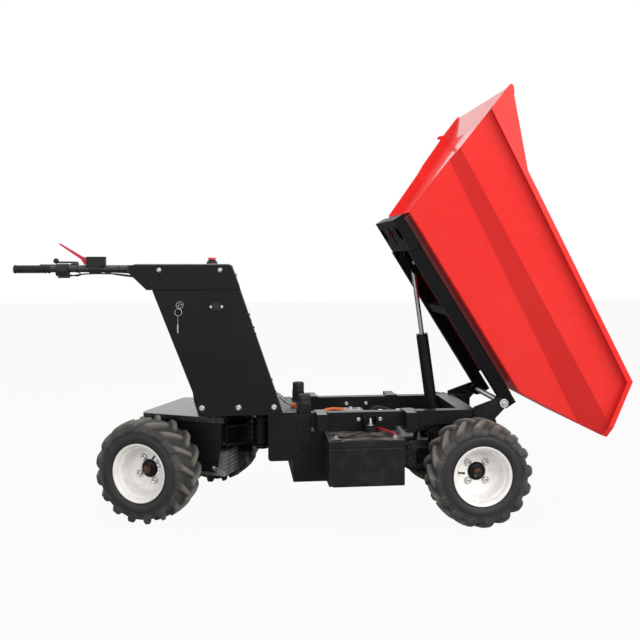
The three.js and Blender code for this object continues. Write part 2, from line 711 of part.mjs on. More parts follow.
function sideOutline() {
  return [
    [0, 0], [tub.floorLength, 0], [tub.lipX, tub.lipZ], [tub.frontX, tub.frontZ],
    [tub.rearX, tub.rearZ],
  ];
}

// The rim: a flange turned outwards with a lip turned down, along the top and the front edge.
function rimLoops(side) {
  const { rimFlange, rimLip, rearX, rearZ, frontX, frontZ, lipX, lipZ } = tub;
  const inwards = (a, b) => new THREE.Vector2(b[1] - a[1], a[0] - b[0]).normalize();
  const first = inwards([rearX, rearZ], [frontX, frontZ]);
  const second = inwards([frontX, frontZ], [lipX, lipZ]);
  const mitre = first.clone().add(second).normalize();
  mitre.multiplyScalar(1 / mitre.dot(first));
  const run = (lipX - frontX) / (lipZ - frontZ);
  const stepZ = crease(stepFace, upperFace, frontX - run * frontZ, run);
  const stations = [
    [rearX, rearZ, first], [frontX, frontZ, mitre], [frontX + run * (stepZ - frontZ), stepZ, second],
    [lipX, lipZ, second],
  ];
  const section = [
    [-1, 0], [rimFlange, 0], [rimFlange, rimLip], [rimFlange - panel, rimLip],
    [rimFlange - panel, panel], [-1, panel],
  ];
  return stations.map(([x, z, inward]) => section.map(([out, depth]) => new THREE.Vector3(
    x + inward.x * depth, side * (wallAt(outerFaces, x, z) + out), z + inward.y * depth,
  )));
}

function wingGeometry(side) {
  const { rearX, rearZ, headX, headZ, wingEndX, rimHalf } = tub;
  const shape = new THREE.Shape().moveTo(rearX + 1, rearZ - 3).lineTo(headX, headZ - 14);
  shape.quadraticCurveTo(headX - 3, headZ, headX + 12, headZ - 1);
  shape.quadraticCurveTo(headX + 30, headZ - 6, headX + 44, headZ - 18);
  shape.lineTo(wingEndX, rimZ(wingEndX) - 3);
  return upright(shape, ...across(side, rimHalf - 1, rimHalf + panel - 1), 6);
}

function addTubSides(group) {
  eachSide((name, side) => {
    const wall = common(
      upright(sideOutline(), ...across(side, 100, 500)),
      loft([wallLoop(tub.headX - 100, side), wallLoop(tub.lipX + 100, side)]),
    );
    add(group, `tub_side_${name}`, join(wall, loft(rimLoops(side)), wingGeometry(side)), redCoat);
  });
}

// A strip of sheet between the side walls, from one level line to the next. Each station gives the
// place of its front face and the direction of its back face.
function crossPanel(stations) {
  const loops = stations.map(([x, z, back]) => {
    const [backX, backZ] = [x + back.x * panel, z + back.y * panel];
    const half = wallAt(innerFaces, x, z) - 3 * seat;
    const backHalf = wallAt(innerFaces, backX, backZ) - 3 * seat;
    return [[x, -half, z], [x, half, z], [backX, backHalf, backZ], [backX, -backHalf, backZ]]
      .map((corner) => new THREE.Vector3(...corner));
  });
  return loft(loops);
}

// Heights at which a cross panel on the line X = x0 + k Z passes the side walls' two creases.
function stepLevels(x0, k) {
  const [lower, step, upper] = innerFaces;
  return [crease(lower, step, x0, k), crease(step, upper, x0, k)];
}

function addTubFloor(group) {
  const { floorLength, lipX, lipZ, wallInset } = tub;
  const rise = Math.atan2(lipZ, lipX - floorLength);
  const run = 1 / Math.tan(rise);
  const down = new THREE.Vector2(0, -1);
  const rampDown = new THREE.Vector2(Math.sin(rise), -Math.cos(rise));
  const bend = new THREE.Vector2(Math.tan(rise / 2), -1);
  const tip = lipZ - 2;
  const levels = [...stepLevels(floorLength, run).filter((z) => z < tip), tip];
  const sheets = crossPanel([
    [wallInset - 40, 0, down], [floorLength, 0, bend],
    ...levels.map((z) => [floorLength + run * z, z, rampDown]),
  ]);
  const ribs = [];
  eachSide((name, side) => {
    const [y0, y1] = across(side, rib.inner, rib.outer);
    ribs.push(block(beam.rear, floorLength - 60, y0, y1, -panel - rib.height, -1));
  });
  add(group, "tub_floor", join(sheets, ...ribs), redCoat);
}

// Rear wall and headboard are one sheet, folded back further above the rim.
function addTubRearWall(group) {
  const { wallInset, rearX, rearZ, headX, headZ, rimHalf } = tub;
  const run = rearX / rearZ;
  const backwards = (x, z) => new THREE.Vector2(-z, x).normalize();
  const foldX = wallInset + rearX;
  const wallBack = backwards(rearX, rearZ);
  const headBack = backwards(headX - foldX, headZ - rearZ);
  const levels = [seat - wallBack.y * panel, ...stepLevels(wallInset, run), rearZ];
  const wall = crossPanel(levels.map((z) => [wallInset + run * z, z, wallBack]));
  const root = [foldX - run, rearZ - 1];
  const top = [headX + 8, headZ - 8];
  const behind = ([x, z]) => [x + headBack.x * panel, z + headBack.y * panel];
  const half = rimHalf - 1 - seat;
  const head = upright([root, top, behind(top), behind(root)], -half, half);
  add(group, "tub_rear_wall", join(wall, head), redCoat);
}

// ---------------------------------------------------------------- tub subframe
function addBeams(group) {
  const { inner, outer, top, bottom, rear, front, lugRadius } = beam;
  eachSide((name, side) => {
    const [y0, y1] = across(side, inner, outer);
    const [l0, l1] = across(side, inner, inner + 14);
    const solid = cut(
      join(block(channel.front + seat, front, y0, y1, bottom, top),
        rodY(l0, l1, tub.pinX, -tub.pinDrop, lugRadius, 24)),
      rodY(y0 - 5, y1 + 5, tub.pinX, -tub.pinDrop, tiltPin.radius + bearing, 20),
    );
    add(group, `tub_beam_${name}`, solid, blackCoat);
  });
}

// Inverted channel across the rear of the subframe: it lands on the buffers.
function addRearChannel(group) {
  const { rear, front, half, top, bottom, wall } = channel;
  const web = block(rear, front, -half, half, underRibs - wall, underRibs);
  const slot = block(40, 100, -9, 9, top - 40, top + 40);
  const solid = cut(join(
    web,
    block(rear, rear + wall, -half, half, bottom, top - wall),
    block(front - wall, front, -half, half, bottom, top - wall),
  ), slot);
  add(group, "tub_channel", solid, blackCoat);
}

function addCrossTube(group) {
  const half = beam.inner - seat;
  const tube = block(crossTube.rear, crossTube.front, -half, half, crossTube.bottom, crossTube.top);
  add(group, "tub_cross_tube", tube, blackCoat);
}

// U bracket for the lift rod's eye, with rounded cheeks, behind the rear channel.
function addRodBracket(group) {
  const inner = cheekInner;
  const cheek = 6;
  const start = channel.front + seat;
  const end = rodPin.x + 54;
  const round = 30;
  const low = rodPin.z - 28;
  const root = underRibs - 3;
  const cheekShape = new THREE.Shape().moveTo(start, root).lineTo(start, low + 18);
  cheekShape.lineTo(start + 22, low).lineTo(end - round, low);
  cheekShape.quadraticCurveTo(end, low, end, low + round).lineTo(end, root);
  const web = [block(start, end, -inner - cheek, inner + cheek, underRibs - sheet, underRibs)];
  eachSide((name, side) => web.push(upright(cheekShape, ...across(side, inner, inner + cheek), 8)));
  add(group, "rod_bracket", join(...web), blackCoat);
}

// Red hook that locks the lowered tub, hung in the channel's slot.
function addLatchHook(group) {
  const top = underRibs - channel.wall - seat;
  const hook = upright([
    [52, top], [88, top], [88, top - 16], [70, top - 30], [62, top - 48], [46, top - 50],
    [42, top - 42], [54, top - 36], [56, top - 20], [52, top - 10],
  ], -5, 5);
  const pad = block(50, 92, -14, 14, top - 6, top);
  const pin = rodY(-16, 16, 76, top - 12, 5, 12);
  add(group, "latch_hook", join(pad, hook, pin), redPlastic);
}

function addTub(group) {
  const tubGroup = new THREE.Group();
  tubGroup.position.set(tiltPin.x, 0, tiltPin.z);
  tubGroup.rotation.y = THREE.MathUtils.degToRad(tipAngle);
  const floorFrame = new THREE.Group();
  floorFrame.position.set(-tub.pinX, 0, tub.pinDrop);
  tubGroup.add(floorFrame);
  addTubFloor(floorFrame);
  addTubSides(floorFrame);
  addTubRearWall(floorFrame);
  addBeams(floorFrame);
  addRearChannel(floorFrame);
  addCrossTube(floorFrame);
  addRodBracket(floorFrame);
  addLatchHook(floorFrame);
  group.add(tubGroup);
}

// ---------------------------------------------------------------- lift cylinder
// Built along +Z from its lower pin, then leaned back to the tipped position.
function addCylinder(group) {
  const { x, z, barrelRadius, barrelLength, rodRadius, eyeRadius, eyeHalf } = cylinder;
  const lift = new THREE.Group();
  lift.position.set(x, 0, z);
  lift.rotation.y = THREE.MathUtils.degToRad(90 - cylinder.tippedAngle);
  const pinBore = cylinder.pinRadius + bearing;
  const boreBottom = barrelLength - cylinder.rodInside - cylinder.stroke - clear;
  const barrel = cut(
    join(
      rodY(-eyeHalf, eyeHalf, 0, 0, eyeRadius, 24),
      block(-eyeHalf, eyeHalf, -eyeHalf, eyeHalf, 8, 40),
      rodZ(34, barrelLength, 0, 0, barrelRadius, 28),
    ),
    rodY(-eyeHalf - 5, eyeHalf + 5, 0, 0, pinBore, 20),
    rodZ(boreBottom, barrelLength + 10, 0, 0, rodRadius + bearing, 20),
  );
  add(lift, "cylinder_barrel", barrel, blackCoat);
  const reach = cylinder.tippedLength;
  const rod = join(
    rodZ(barrelLength - cylinder.rodInside, reach - 12, 0, 0, rodRadius, 20),
    rodY(-eyeHalf, eyeHalf, 0, reach, eyeRadius - 4, 24),
    rodY(bearing - cheekInner, cheekInner - bearing, 0, reach, rodPin.radius, 20),
  );
  add(lift, "cylinder_rod", rod, brightSteel);
  group.add(lift);
}

// ---------------------------------------------------------------- the machine
const machine = new THREE.Group();
addRails(machine);
addTiltShaft(machine);
addFrontPlate(machine);
addBolster(machine);
addSidePlates(machine);
addSwivelFork(machine);
addControlBox(machine);
addBatteries(machine);
addPump(machine);
addFrontSubframe(machine);
add(machine, "front_axle", axleGeometry(0, -190, -40, -70, 70), castAlloy);
addWheels(machine, "front", 0);
addConsole(machine);
addHandlebar(machine);
addControls(machine);
addStopButton(machine);
addRearSection(machine);
addTub(machine);
addCylinder(machine);

machine.updateMatrixWorld(true);
const bounds = new THREE.Box3().setFromObject(machine, true);
const middle = bounds.getCenter(new THREE.Vector3());
machine.position.set(-middle.x, -middle.y, -bounds.min.z);

const dumper = new THREE.Group();
dumper.add(machine);
export default dumper;
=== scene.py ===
"""A battery-driven walk-behind site dumper, finished section by section as it is put together.

All sizes are in metres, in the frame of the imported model: +X to the tub's discharge end, +Y to the
machine's left, +Z up, with the origin on the ground under the middle of the machine.
"""

import json
import math

import bmesh
import bpy
from mathutils import Matrix, Vector


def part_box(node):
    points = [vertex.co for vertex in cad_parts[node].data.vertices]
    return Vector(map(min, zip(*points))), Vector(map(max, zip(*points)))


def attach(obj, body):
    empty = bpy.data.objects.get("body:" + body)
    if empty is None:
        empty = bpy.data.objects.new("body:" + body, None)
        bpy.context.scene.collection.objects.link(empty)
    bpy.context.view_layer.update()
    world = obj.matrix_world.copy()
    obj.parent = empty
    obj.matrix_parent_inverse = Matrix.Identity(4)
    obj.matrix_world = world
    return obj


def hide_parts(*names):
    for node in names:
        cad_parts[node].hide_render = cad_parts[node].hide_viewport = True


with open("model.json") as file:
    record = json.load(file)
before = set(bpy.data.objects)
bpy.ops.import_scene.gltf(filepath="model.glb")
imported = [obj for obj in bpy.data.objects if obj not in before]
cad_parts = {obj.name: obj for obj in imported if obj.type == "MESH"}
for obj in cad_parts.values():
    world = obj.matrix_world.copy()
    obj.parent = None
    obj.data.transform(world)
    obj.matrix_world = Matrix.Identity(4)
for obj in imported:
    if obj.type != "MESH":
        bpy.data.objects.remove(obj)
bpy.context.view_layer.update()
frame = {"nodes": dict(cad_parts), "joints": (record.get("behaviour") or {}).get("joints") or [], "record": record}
scene = bpy.context.scene


# ------------------------------------------------------------------------------------------ studio
# The machine stands on a pale floor in a white room, lit by three soft boxes and a ceiling lamp.
# The camera stands at the machine's right-hand side, a little behind its middle and at chest height.
EYE = Vector((-0.348, -3.335, 1.04))
LOOK_TURN = math.radians(6.2)
LENS = 43.5
FRAME_DROP = -0.097  # the frame is cut below the level line of sight


def in_scene(name, data):
    """A new object in the scene."""
    thing = bpy.data.objects.new(name, data)
    scene.collection.objects.link(thing)
    return thing


look = Vector((math.sin(LOOK_TURN), math.cos(LOOK_TURN), 0))
camera = in_scene("side_camera", bpy.data.cameras.new("side_camera"))
camera.data.lens = LENS
camera.data.shift_y = FRAME_DROP
camera.location = EYE
camera.rotation_mode = "QUATERNION"
camera.rotation_quaternion = look.to_track_quat("-Z", "Y")
scene.camera = camera
scene.view_settings.view_transform = "Standard"


def soft_box(name, place, aim, size, power):
    """A lamp with a wide, flat face that is turned to a point."""
    lamp = in_scene(name, bpy.data.lights.new(name, "AREA"))
    lamp.data.shape = "RECTANGLE"
    lamp.data.size, lamp.data.size_y = size
    lamp.data.energy = power
    lamp.location = place
    lamp.rotation_mode = "QUATERNION"
    lamp.rotation_quaternion = (Vector(aim) - Vector(place)).to_track_quat("-Z", "Y")


soft_box("front_box", (0.9, -3.9, 2.7), (0.0, 0, 0.7), (3.0, 2.0), 65)
soft_box("right_box", (2.6, -2.8, 2.2), (0.4, 0, 0.8), (2.0, 2.0), 62)
soft_box("left_box", (-3.0, -2.9, 1.1), (-0.5, 0, 0.4), (2.0, 1.6), 24)
soft_box("ceiling_box", (0.0, 0.4, 3.8), (0, 0, 0.5), (4.0, 3.0), 66)

# The room is white to the camera and in reflections, and lights the machine with less than that.
ROOM_LIGHT = 0.36
world = bpy.data.worlds.new("white_room")
scene.world = world
world.use_nodes = True
rays = world.node_tree.nodes.new("ShaderNodeLightPath")
seen = world.node_tree.nodes.new("ShaderNodeMath")
seen.operation = "MAXIMUM"
mirrored = world.node_tree.nodes.new("ShaderNodeMath")
mirrored.operation = "MAXIMUM"
level = world.node_tree.nodes.new("ShaderNodeMapRange")
level.inputs["To Min"].default_value = ROOM_LIGHT
level.inputs["To Max"].default_value = 1.0
background = world.node_tree.nodes["Background"]
background.inputs["Color"].default_value = (1, 1, 1, 1)
world.node_tree.links.new(rays.outputs["Is Camera Ray"], seen.inputs[0])
world.node_tree.links.new(rays.outputs["Is Glossy Ray"], mirrored.inputs[0])
world.node_tree.links.new(rays.outputs["Is Transmission Ray"], mirrored.inputs[1])
world.node_tree.links.new(mirrored.outputs[0], seen.inputs[1])
world.node_tree.links.new(seen.outputs[0], level.inputs["Value"])
world.node_tree.links.new(level.outputs["Result"], background.inputs["Strength"])


class Wire:
    """One output of a material's node, with the arithmetic that adds Math nodes."""

    def __init__(self, finish, socket):
        self.finish = finish
        self.socket = socket

    def _math(self, operation, first, second):
        return self.finish.add("ShaderNodeMath", {"operation": operation}, {0: first, 1: second})

    def __add__(self, other):
        return self._math("ADD", self, other)

    def __radd__(self, other):
        return self._math("ADD", other, self)

    def __mul__(self, other):
        return self._math("MULTIPLY", self, other)

    def __rmul__(self, other):
        return self._math("MULTIPLY", other, self)


class Finish:
    """A material made of nodes. add() makes any node from its type, settings and socket values."""

    def __init__(self, name, **constants):
        self.material = bpy.data.materials.new(name)
        self.material.use_nodes = True
        self.tree = self.material.node_tree
        self.shader = self.tree.nodes["Principled BSDF"]
        for socket, value in constants.items():
            self.shader.inputs[socket.replace("_", " ")].default_value = value

    def add(self, kind, settings=None, values=None, out=0):
        node = self.tree.nodes.new(kind)
        for key, value in (settings or {}).items():
            setattr(node, key, value)
        for key, value in (values or {}).items():
            if isinstance(value, Wire):
                self.tree.links.new(value.socket, node.inputs[key])
            else:
                node.inputs[key].default_value = value
        return Wire(self, node.outputs[out])

    def here(self):
        """The place on the piece, in metres."""
        return self.add("ShaderNodeTexCoord", out="Object")

    def noise(self, scale, detail=3.0, stretch=None):
        at = self.here()
        if stretch:
            at = self.add("ShaderNodeMapping", None, {"Vector": at, "Scale": stretch})
        return self.add("ShaderNodeTexNoise", None, {"Vector": at, "Scale": scale, "Detail": detail})

    def band(self, value, low, high):
        """0 below low, 1 above high, and an even rise between them."""
        limits = {"Value": value, "From Min": low, "From Max": high}
        return self.add("ShaderNodeMapRange", {"clamp": True}, limits)

    def mix(self, factor, first, second):
        first, second = (c if isinstance(c, Wire) else (*c, 1) for c in (first, second))
        values = {"Factor": factor, 6: first, 7: second}
        return self.add("ShaderNodeMix", {"data_type": "RGBA"}, values, out=2)

    def upward(self):
        """How far each face looks up: 1 on level tops, 0 on upright sides, -1 underneath."""
        normal = self.add("ShaderNodeNewGeometry", out="Normal")
        return self.add("ShaderNodeSeparateXYZ", None, {0: normal}, out=2)

    def bump(self, height, depth, strength=1.0):
        values = {"Height": height, "Distance": depth, "Strength": strength}
        self.set("Normal", self.add("ShaderNodeBump", None, values))

    def set(self, socket, value):
        self.tree.links.new(value.socket, self.shader.inputs[socket])


def white_floor():
    """Matt white, with a glow that only the camera sees, so that the floor meets the room."""
    floor = Finish("white_floor", Roughness=0.9)
    paper = floor.noise(35, 4)
    floor.set("Base Color", floor.mix(paper, (0.36, 0.36, 0.36), (0.42, 0.42, 0.42)))
    glow = floor.add("ShaderNodeEmission", None, {"Color": (1, 1, 1, 1), "Strength": 1.0})
    camera_ray = floor.add("ShaderNodeLightPath", out="Is Camera Ray")
    lit = Wire(floor, floor.shader.outputs[0])
    whole = floor.add("ShaderNodeMixShader", None, {0: camera_ray * 0.94, 1: lit, 2: glow})
    output = floor.tree.nodes["Material Output"]
    floor.tree.links.new(whole.socket, output.inputs["Surface"])
    return floor.material


def mesh_of(bm, name):
    """The mesh of a bmesh, which is then freed."""
    mesh = bpy.data.meshes.new(name)
    bm.to_mesh(mesh)
    bm.free()
    return mesh


FLOOR_HALF = 15


def lay_floor():
    sheet = bmesh.new()
    bmesh.ops.create_grid(sheet, x_segments=1, y_segments=1, size=FLOOR_HALF)
    mesh = mesh_of(sheet, "studio_floor")
    mesh.materials.append(white_floor())
    in_scene("studio_floor", mesh)


lay_floor()


# --------------------------------------------------------------------------- welded chassis of steel
# Two box-section rails with saddles, cross members, side plates, hangers, fork and trays: cut plate
# and tube, welded and powder-coated black. Edges are eased as they are before coating.
def black_coat(name, dust=0.35, shine=0.2):
    """Satin black powder coat with a fine orange-peel skin, dust, and more gloss on its level faces."""
    coat = Finish(name, Specular_IOR_Level=shine, Coat_Roughness=0.25)
    coat.set("Coat Weight", coat.band(coat.upward(), 0.75, 0.98) * 0.55)
    patches = coat.noise(5, 4)
    grains = coat.noise(60, 5)
    settled = coat.band(grains * patches, 0.24, 0.5) * dust
    coat.set("Base Color", coat.mix(settled, (0.0032, 0.0034, 0.0039), (0.034, 0.033, 0.031)))
    coat.set("Roughness", coat.band(patches, 0.2, 0.8) * 0.16 + 0.42)
    coat.bump(coat.noise(700, 2), 0.00025, 0.35)
    return coat.material


def one_piece(name, mesh, material, body, slot, *nodes):
    """Puts a finished mesh in the scene on its body, with its finish, in place of CAD nodes."""
    if material:
        mesh.materials.clear()
        mesh.materials.append(material)
    piece = in_scene(name, mesh)
    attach(piece, body)
    if nodes:
        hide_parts(*nodes)
    return piece


def baked(rough):
    """The mesh of an object with its modifiers applied; the object itself is dropped."""
    evaluated = rough.evaluated_get(bpy.context.evaluated_depsgraph_get())
    mesh = bpy.data.meshes.new_from_object(evaluated)
    source = rough.data
    bpy.data.objects.remove(rough)
    bpy.data.meshes.remove(source)
    return mesh


EASED_SHARE = 0.7  # an edge is rounded from this share of the crease angle


def ease_edges(mesh, width, segments=2, crease=40):
    """Rounds the sharp edges, and keeps flat faces flat in the shading."""
    rough = in_scene("rough", mesh)
    bevel = rough.modifiers.new("ease", "BEVEL")
    bevel.width = width
    bevel.segments = segments
    bevel.limit_method = "ANGLE"
    bevel.angle_limit = math.radians(crease * EASED_SHARE)
    even = rough.modifiers.new("flat", "WEIGHTED_NORMAL")
    even.weight = 80
    for face in mesh.polygons:
        face.use_smooth = True
    mesh.set_sharp_from_angle(angle=math.radians(crease))
    even.keep_sharp = True
    return baked(rough)


def eased(node, width=0.0012, segments=2, crease=40):
    """A copy of a CAD node's mesh, merged, with its flat faces whole and its edges eased."""
    bm = bmesh.new()
    bm.from_mesh(frame["nodes"][node].data)
    bmesh.ops.remove_doubles(bm, verts=bm.verts, dist=2e-6)
    bmesh.ops.dissolve_limit(bm, angle_limit=math.radians(0.6), verts=bm.verts, edges=bm.edges)
    return ease_edges(mesh_of(bm, node), width, segments, crease)


def body_of(node):
    """The body that a CAD node belongs to."""
    return next(body for body, nodes in frame["record"]["behaviour"]["bodies"].items() if node in nodes)


def slot_of(node):
    """The material slot of a CAD node."""
    return next(s["material_slot"] for s in frame["record"]["subparts"] if s["node"] == node)


def coated(node, material, width=0.0012, segments=2, crease=40):
    """Puts an eased and finished copy of a CAD node in that node's place."""
    mesh = eased(node, width, segments, crease)
    return one_piece(f"{node}_coated", mesh, material, body_of(node), slot_of(node), node)


chassis_coat = black_coat("chassis_powder_coat")
WELDED = (
    "frame_rail_right", "frame_rail_left", "front_cross_plate", "buffer_bolster", "side_plate_right",
    "side_plate_left", "swivel_fork", "battery_tray", "front_subframe", "control_box",
)
for node in WELDED:
    coated(node, chassis_coat)


# ------------------------------------------------------------------------- bolts, nuts and screws
# Zinc-plated fasteners: domed screws with a socket, and hexagon heads on a washer. Each kind is one
# small turned head, set on every place of a body by a Geometry Nodes tree.
def zinc(name, worn=0.5):
    """Zinc plate, clouded; worn is how far the dull patches go."""
    metal = Finish(name, Metallic=0.92)
    cloud = metal.noise(220, 3)
    metal.set("Base Color", metal.mix(cloud, (0.42, 0.43, 0.44), (0.72, 0.73, 0.74)))
    metal.set("Roughness", cloud * worn + 0.16)
    metal.bump(metal.noise(900, 2), 0.0001, 0.3)
    return metal.material


def outward(bm, name):
    """The mesh of a bmesh whose faces are turned to point outwards."""
    bmesh.ops.recalc_face_normals(bm, faces=bm.faces)
    return mesh_of(bm, name)


def sealed(bm, name):
    """The same, with the seams closed as well."""
    bmesh.ops.remove_doubles(bm, verts=bm.verts, dist=1e-7)
    return outward(bm, name)


def circle(count):
    """The angles of a number of points evenly round a circle."""
    return [2 * math.pi * i / count for i in range(count)]


def turned_mesh(name, profile, sides):
    """A shape of revolution about Z from (radius, height) points that begin and end on the axis."""
    bm = bmesh.new()
    rings = []
    for radius, height in profile:
        if radius == 0:
            rings.append([bm.verts.new((0, 0, height))])
            continue
        spots = ((radius * math.cos(a), radius * math.sin(a), height) for a in circle(sides))
        rings.append([bm.verts.new(spot) for spot in spots])
    for low, high in zip(rings, rings[1:]):
        for i in range(sides):
            j = (i + 1) % sides
            corners = [low[i % len(low)], low[j % len(low)], high[j % len(high)], high[i % len(high)]]
            bm.faces.new(list(dict.fromkeys(corners)))
    return sealed(bm, name)


def smooth(mesh, angle=35):
    """Shades a mesh smooth, but for the edges sharper than an angle."""
    for face in mesh.polygons:
        face.use_smooth = True
    mesh.set_sharp_from_angle(angle=math.radians(angle))
    return mesh


def domed_head():
    """Head of a unit radius with a round recess, on a thin washer."""
    profile = [
        (0, 0.3), (0.3, 0.32), (0.36, 0.62), (0.5, 0.66), (0.7, 0.56),
        (0.84, 0.36), (0.88, 0.1), (1.0, 0.1), (1.0, 0), (0, 0),
    ]
    return smooth(turned_mesh("domed_head", profile, 20))


def hexagon_head():
    """Head of a bolt on its washer, which has a unit radius."""
    head = turned_mesh("hexagon", [(0, 0.62), (0.62, 0.62), (0.74, 0.56), (0.74, 0.1), (0, 0.1)], 6)
    washer = turned_mesh("washer", [(0, 0.12), (0.96, 0.12), (1.0, 0.08), (1.0, 0), (0, 0)], 20)
    bm = bmesh.new()
    bm.from_mesh(head)
    bm.from_mesh(washer)
    return smooth(mesh_of(bm, "hexagon_head"), 20)


def new_tree(name, sockets):
    """An empty Geometry Nodes tree with named inputs."""
    tree = bpy.data.node_groups.new(name, "GeometryNodeTree")
    tree.interface.new_socket("Geometry", in_out="OUTPUT", socket_type="NodeSocketGeometry")
    tree.interface.new_socket("Geometry", in_out="INPUT", socket_type="NodeSocketGeometry")
    for socket, kind in sockets.items():
        tree.interface.new_socket(socket, in_out="INPUT", socket_type=f"NodeSocket{kind}")
    return tree


def place(tree, kind, settings=None, links=None):
    """Adds a Geometry node; links maps its inputs to an output (node, name) or to a value."""
    node = tree.nodes.new(kind)
    for key, value in (settings or {}).items():
        setattr(node, key, value)
    for key, value in (links or {}).items():
        if isinstance(value, tuple) and isinstance(value[0], bpy.types.Node):
            tree.links.new(value[0].outputs[value[1]], node.inputs[key])
        else:
            node.inputs[key].default_value = value
    return node


def finish_tree(tree, last, given):
    """Realize Instances, Set Material and the output, which end every tree."""
    real = place(tree, "GeometryNodeRealizeInstances", None, {"Geometry": last})
    set_to = {"Geometry": (real, "Geometry"), "Material": (given, "Finish")}
    covered = place(tree, "GeometryNodeSetMaterial", None, set_to)
    place(tree, "NodeGroupOutput", None, {"Geometry": (covered, "Geometry")})
    return tree


def fastener_tree():
    """Sets a head on every point, as its facing and radius attributes say."""
    tree = new_tree("set_heads_on_places", {"Head": "Object", "Finish": "Material"})
    given = place(tree, "NodeGroupInput")
    facing, radius = (
        place(tree, "GeometryNodeInputNamedAttribute", {"data_type": kind}, {"Name": name})
        for name, kind in (("facing", "FLOAT_VECTOR"), ("radius", "FLOAT"))
    )
    upright = {"Vector": (facing, "Attribute")}
    turn = place(tree, "FunctionNodeAlignRotationToVector", {"axis": "Z"}, upright)
    head = place(tree, "GeometryNodeObjectInfo", None, {"Object": (given, "Head")})
    heads = place(tree, "GeometryNodeInstanceOnPoints", None, {
        "Points": (given, "Geometry"), "Instance": (head, "Geometry"), "Rotation": (turn, "Rotation"),
        "Scale": (radius, "Attribute"),
    })
    return finish_tree(tree, (heads, "Instances"), given)


def grown(mesh, tree, **settings):
    """Runs a Geometry Nodes tree on a mesh, with its inputs set by identifier, and gives the result."""
    rough = in_scene("rough", mesh)
    modifier = rough.modifiers.new("grow", "NODES")
    modifier.node_group = tree
    for item in tree.interface.items_tree:
        if item.in_out == "INPUT" and item.name in settings:
            modifier[item.identifier] = settings[item.name]
    return baked(rough)


heads_on_places = fastener_tree()
HEADS = {"domed": domed_head(), "hexagon": hexagon_head()}
bright_zinc = zinc("bright_zinc_plate", 0.35)


def fasten(name, body, kind, places, material=bright_zinc, slot="bright_steel"):
    """One mesh of heads for one body. places lists (where, which way it faces, radius)."""
    mesh = bpy.data.meshes.new(name)
    mesh.from_pydata([where for where, facing, radius in places], [], [])
    facings = mesh.attributes.new("facing", "FLOAT_VECTOR", "POINT")
    facings.data.foreach_set("vector", [part for where, facing, radius in places for part in facing])
    radii = mesh.attributes.new("radius", "FLOAT", "POINT")
    radii.data.foreach_set("value", [radius for where, facing, radius in places])
    pattern = in_scene("pattern", HEADS[kind])
    heads = grown(mesh, heads_on_places, Head=pattern, Finish=material)
    bpy.data.objects.remove(pattern)
    return one_piece(name, heads, material, body, slot)


RIGHT, LEFT = Vector((0, -1, 0)), Vector((0, 1, 0))
UP = Vector((0, 0, 1))
shaft_low, shaft_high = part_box("tilt_shaft")
middle_y = shaft_low.y / 2 + shaft_high.y / 2


def both_sides(x, face, z, radius):
    """The same fastener on the right and on the left face of the chassis."""
    return [((x, middle_y - face, z), RIGHT, radius), ((x, middle_y + face, z), LEFT, radius)]


RAIL_FACE, RAIL_INSIDE = 0.190, 0.1498
RAIL_BOLTS_X, RAIL_BOLTS_Z, RAIL_BOLT_RADIUS = (0.138, 0.225), 0.396, 0.0085
rail_bolts = []
for x in RAIL_BOLTS_X:
    rail_bolts += both_sides(x, RAIL_FACE, RAIL_BOLTS_Z, RAIL_BOLT_RADIUS)
    rail_bolts.append(((x, middle_y + RAIL_INSIDE, RAIL_BOLTS_Z), RIGHT, RAIL_BOLT_RADIUS))
    rail_bolts.append(((x, middle_y - RAIL_INSIDE, RAIL_BOLTS_Z), LEFT, RAIL_BOLT_RADIUS))
fasten("rail_bolts", "chassis", "domed", rail_bolts)


# --------------------------------------------------------------------------- the tub's two buffers
# Moulded rubber posts that the lowered tub lands on, with a groove round the waist and eased rims.
# Each is turned to the size of its place and stands on the bolster between the rails.
for node in ("tub_buffer_right", "tub_buffer_left"):
    low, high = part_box(node)
    wall, lip = (high.x - low.x) / 2, 0.0012
    rubber = Finish(f"{node}_rubber", Specular_IOR_Level=0.3)
    wear = rubber.noise(90, 4)
    rubber.set("Base Color", rubber.mix(wear, (0.012, 0.012, 0.012), (0.035, 0.034, 0.033)))
    rubber.set("Roughness", wear * 0.2 + 0.6)
    rubber.bump(rubber.noise(500, 3), 0.0004, 0.4)
    height = high.z - low.z
    groove = wall - 0.0018
    profile = [
        (0, height), (wall - 0.005, height), (wall - lip, height - 0.002), (wall, height - 0.005),
        (wall, height * 0.55), (groove, height * 0.53), (groove, height * 0.49),
        (wall, height * 0.47), (wall, lip), (wall - lip, 0), (0, 0),
    ]
    mesh = smooth(turned_mesh(node, profile, 40))
    mesh.transform(Matrix.Translation(((low.x + high.x) / 2, (low.y + high.y) / 2, low.z)))
    one_piece(f"{node}_moulded", mesh, rubber.material, "chassis", "rubber", node)


# --------------------------------------------------------------------------- tilt shaft and lift ram
# Zinc-plated ground bar with a bolt in each end, and a hydraulic ram: a chromed rod and a painted
# barrel that is closed by a turned gland nut.
chrome = Finish("hard_chrome", Metallic=1.0)
drawn_lines = chrome.noise(40, 2, (1, 1, 0.02))
chrome.set("Base Color", chrome.mix(drawn_lines, (0.55, 0.56, 0.57), (0.75, 0.76, 0.77)))
chrome.set("Roughness", drawn_lines * 0.12 + 0.1)
coated("tilt_shaft", bright_zinc, 0.0012)
shaft_at = (shaft_low + shaft_high) / 2
SHAFT_BOLT_RADIUS, SHAFT_RECESS = 0.0105, 0.0035
fasten("tilt_shaft_bolts", "chassis", "hexagon", [
    ((shaft_at.x, shaft_low.y + SHAFT_RECESS, shaft_at.z), RIGHT, SHAFT_BOLT_RADIUS),
    ((shaft_at.x, shaft_high.y - SHAFT_RECESS, shaft_at.z), LEFT, SHAFT_BOLT_RADIUS),
])
ram_coat = black_coat("ram_black_coat", 0.2)
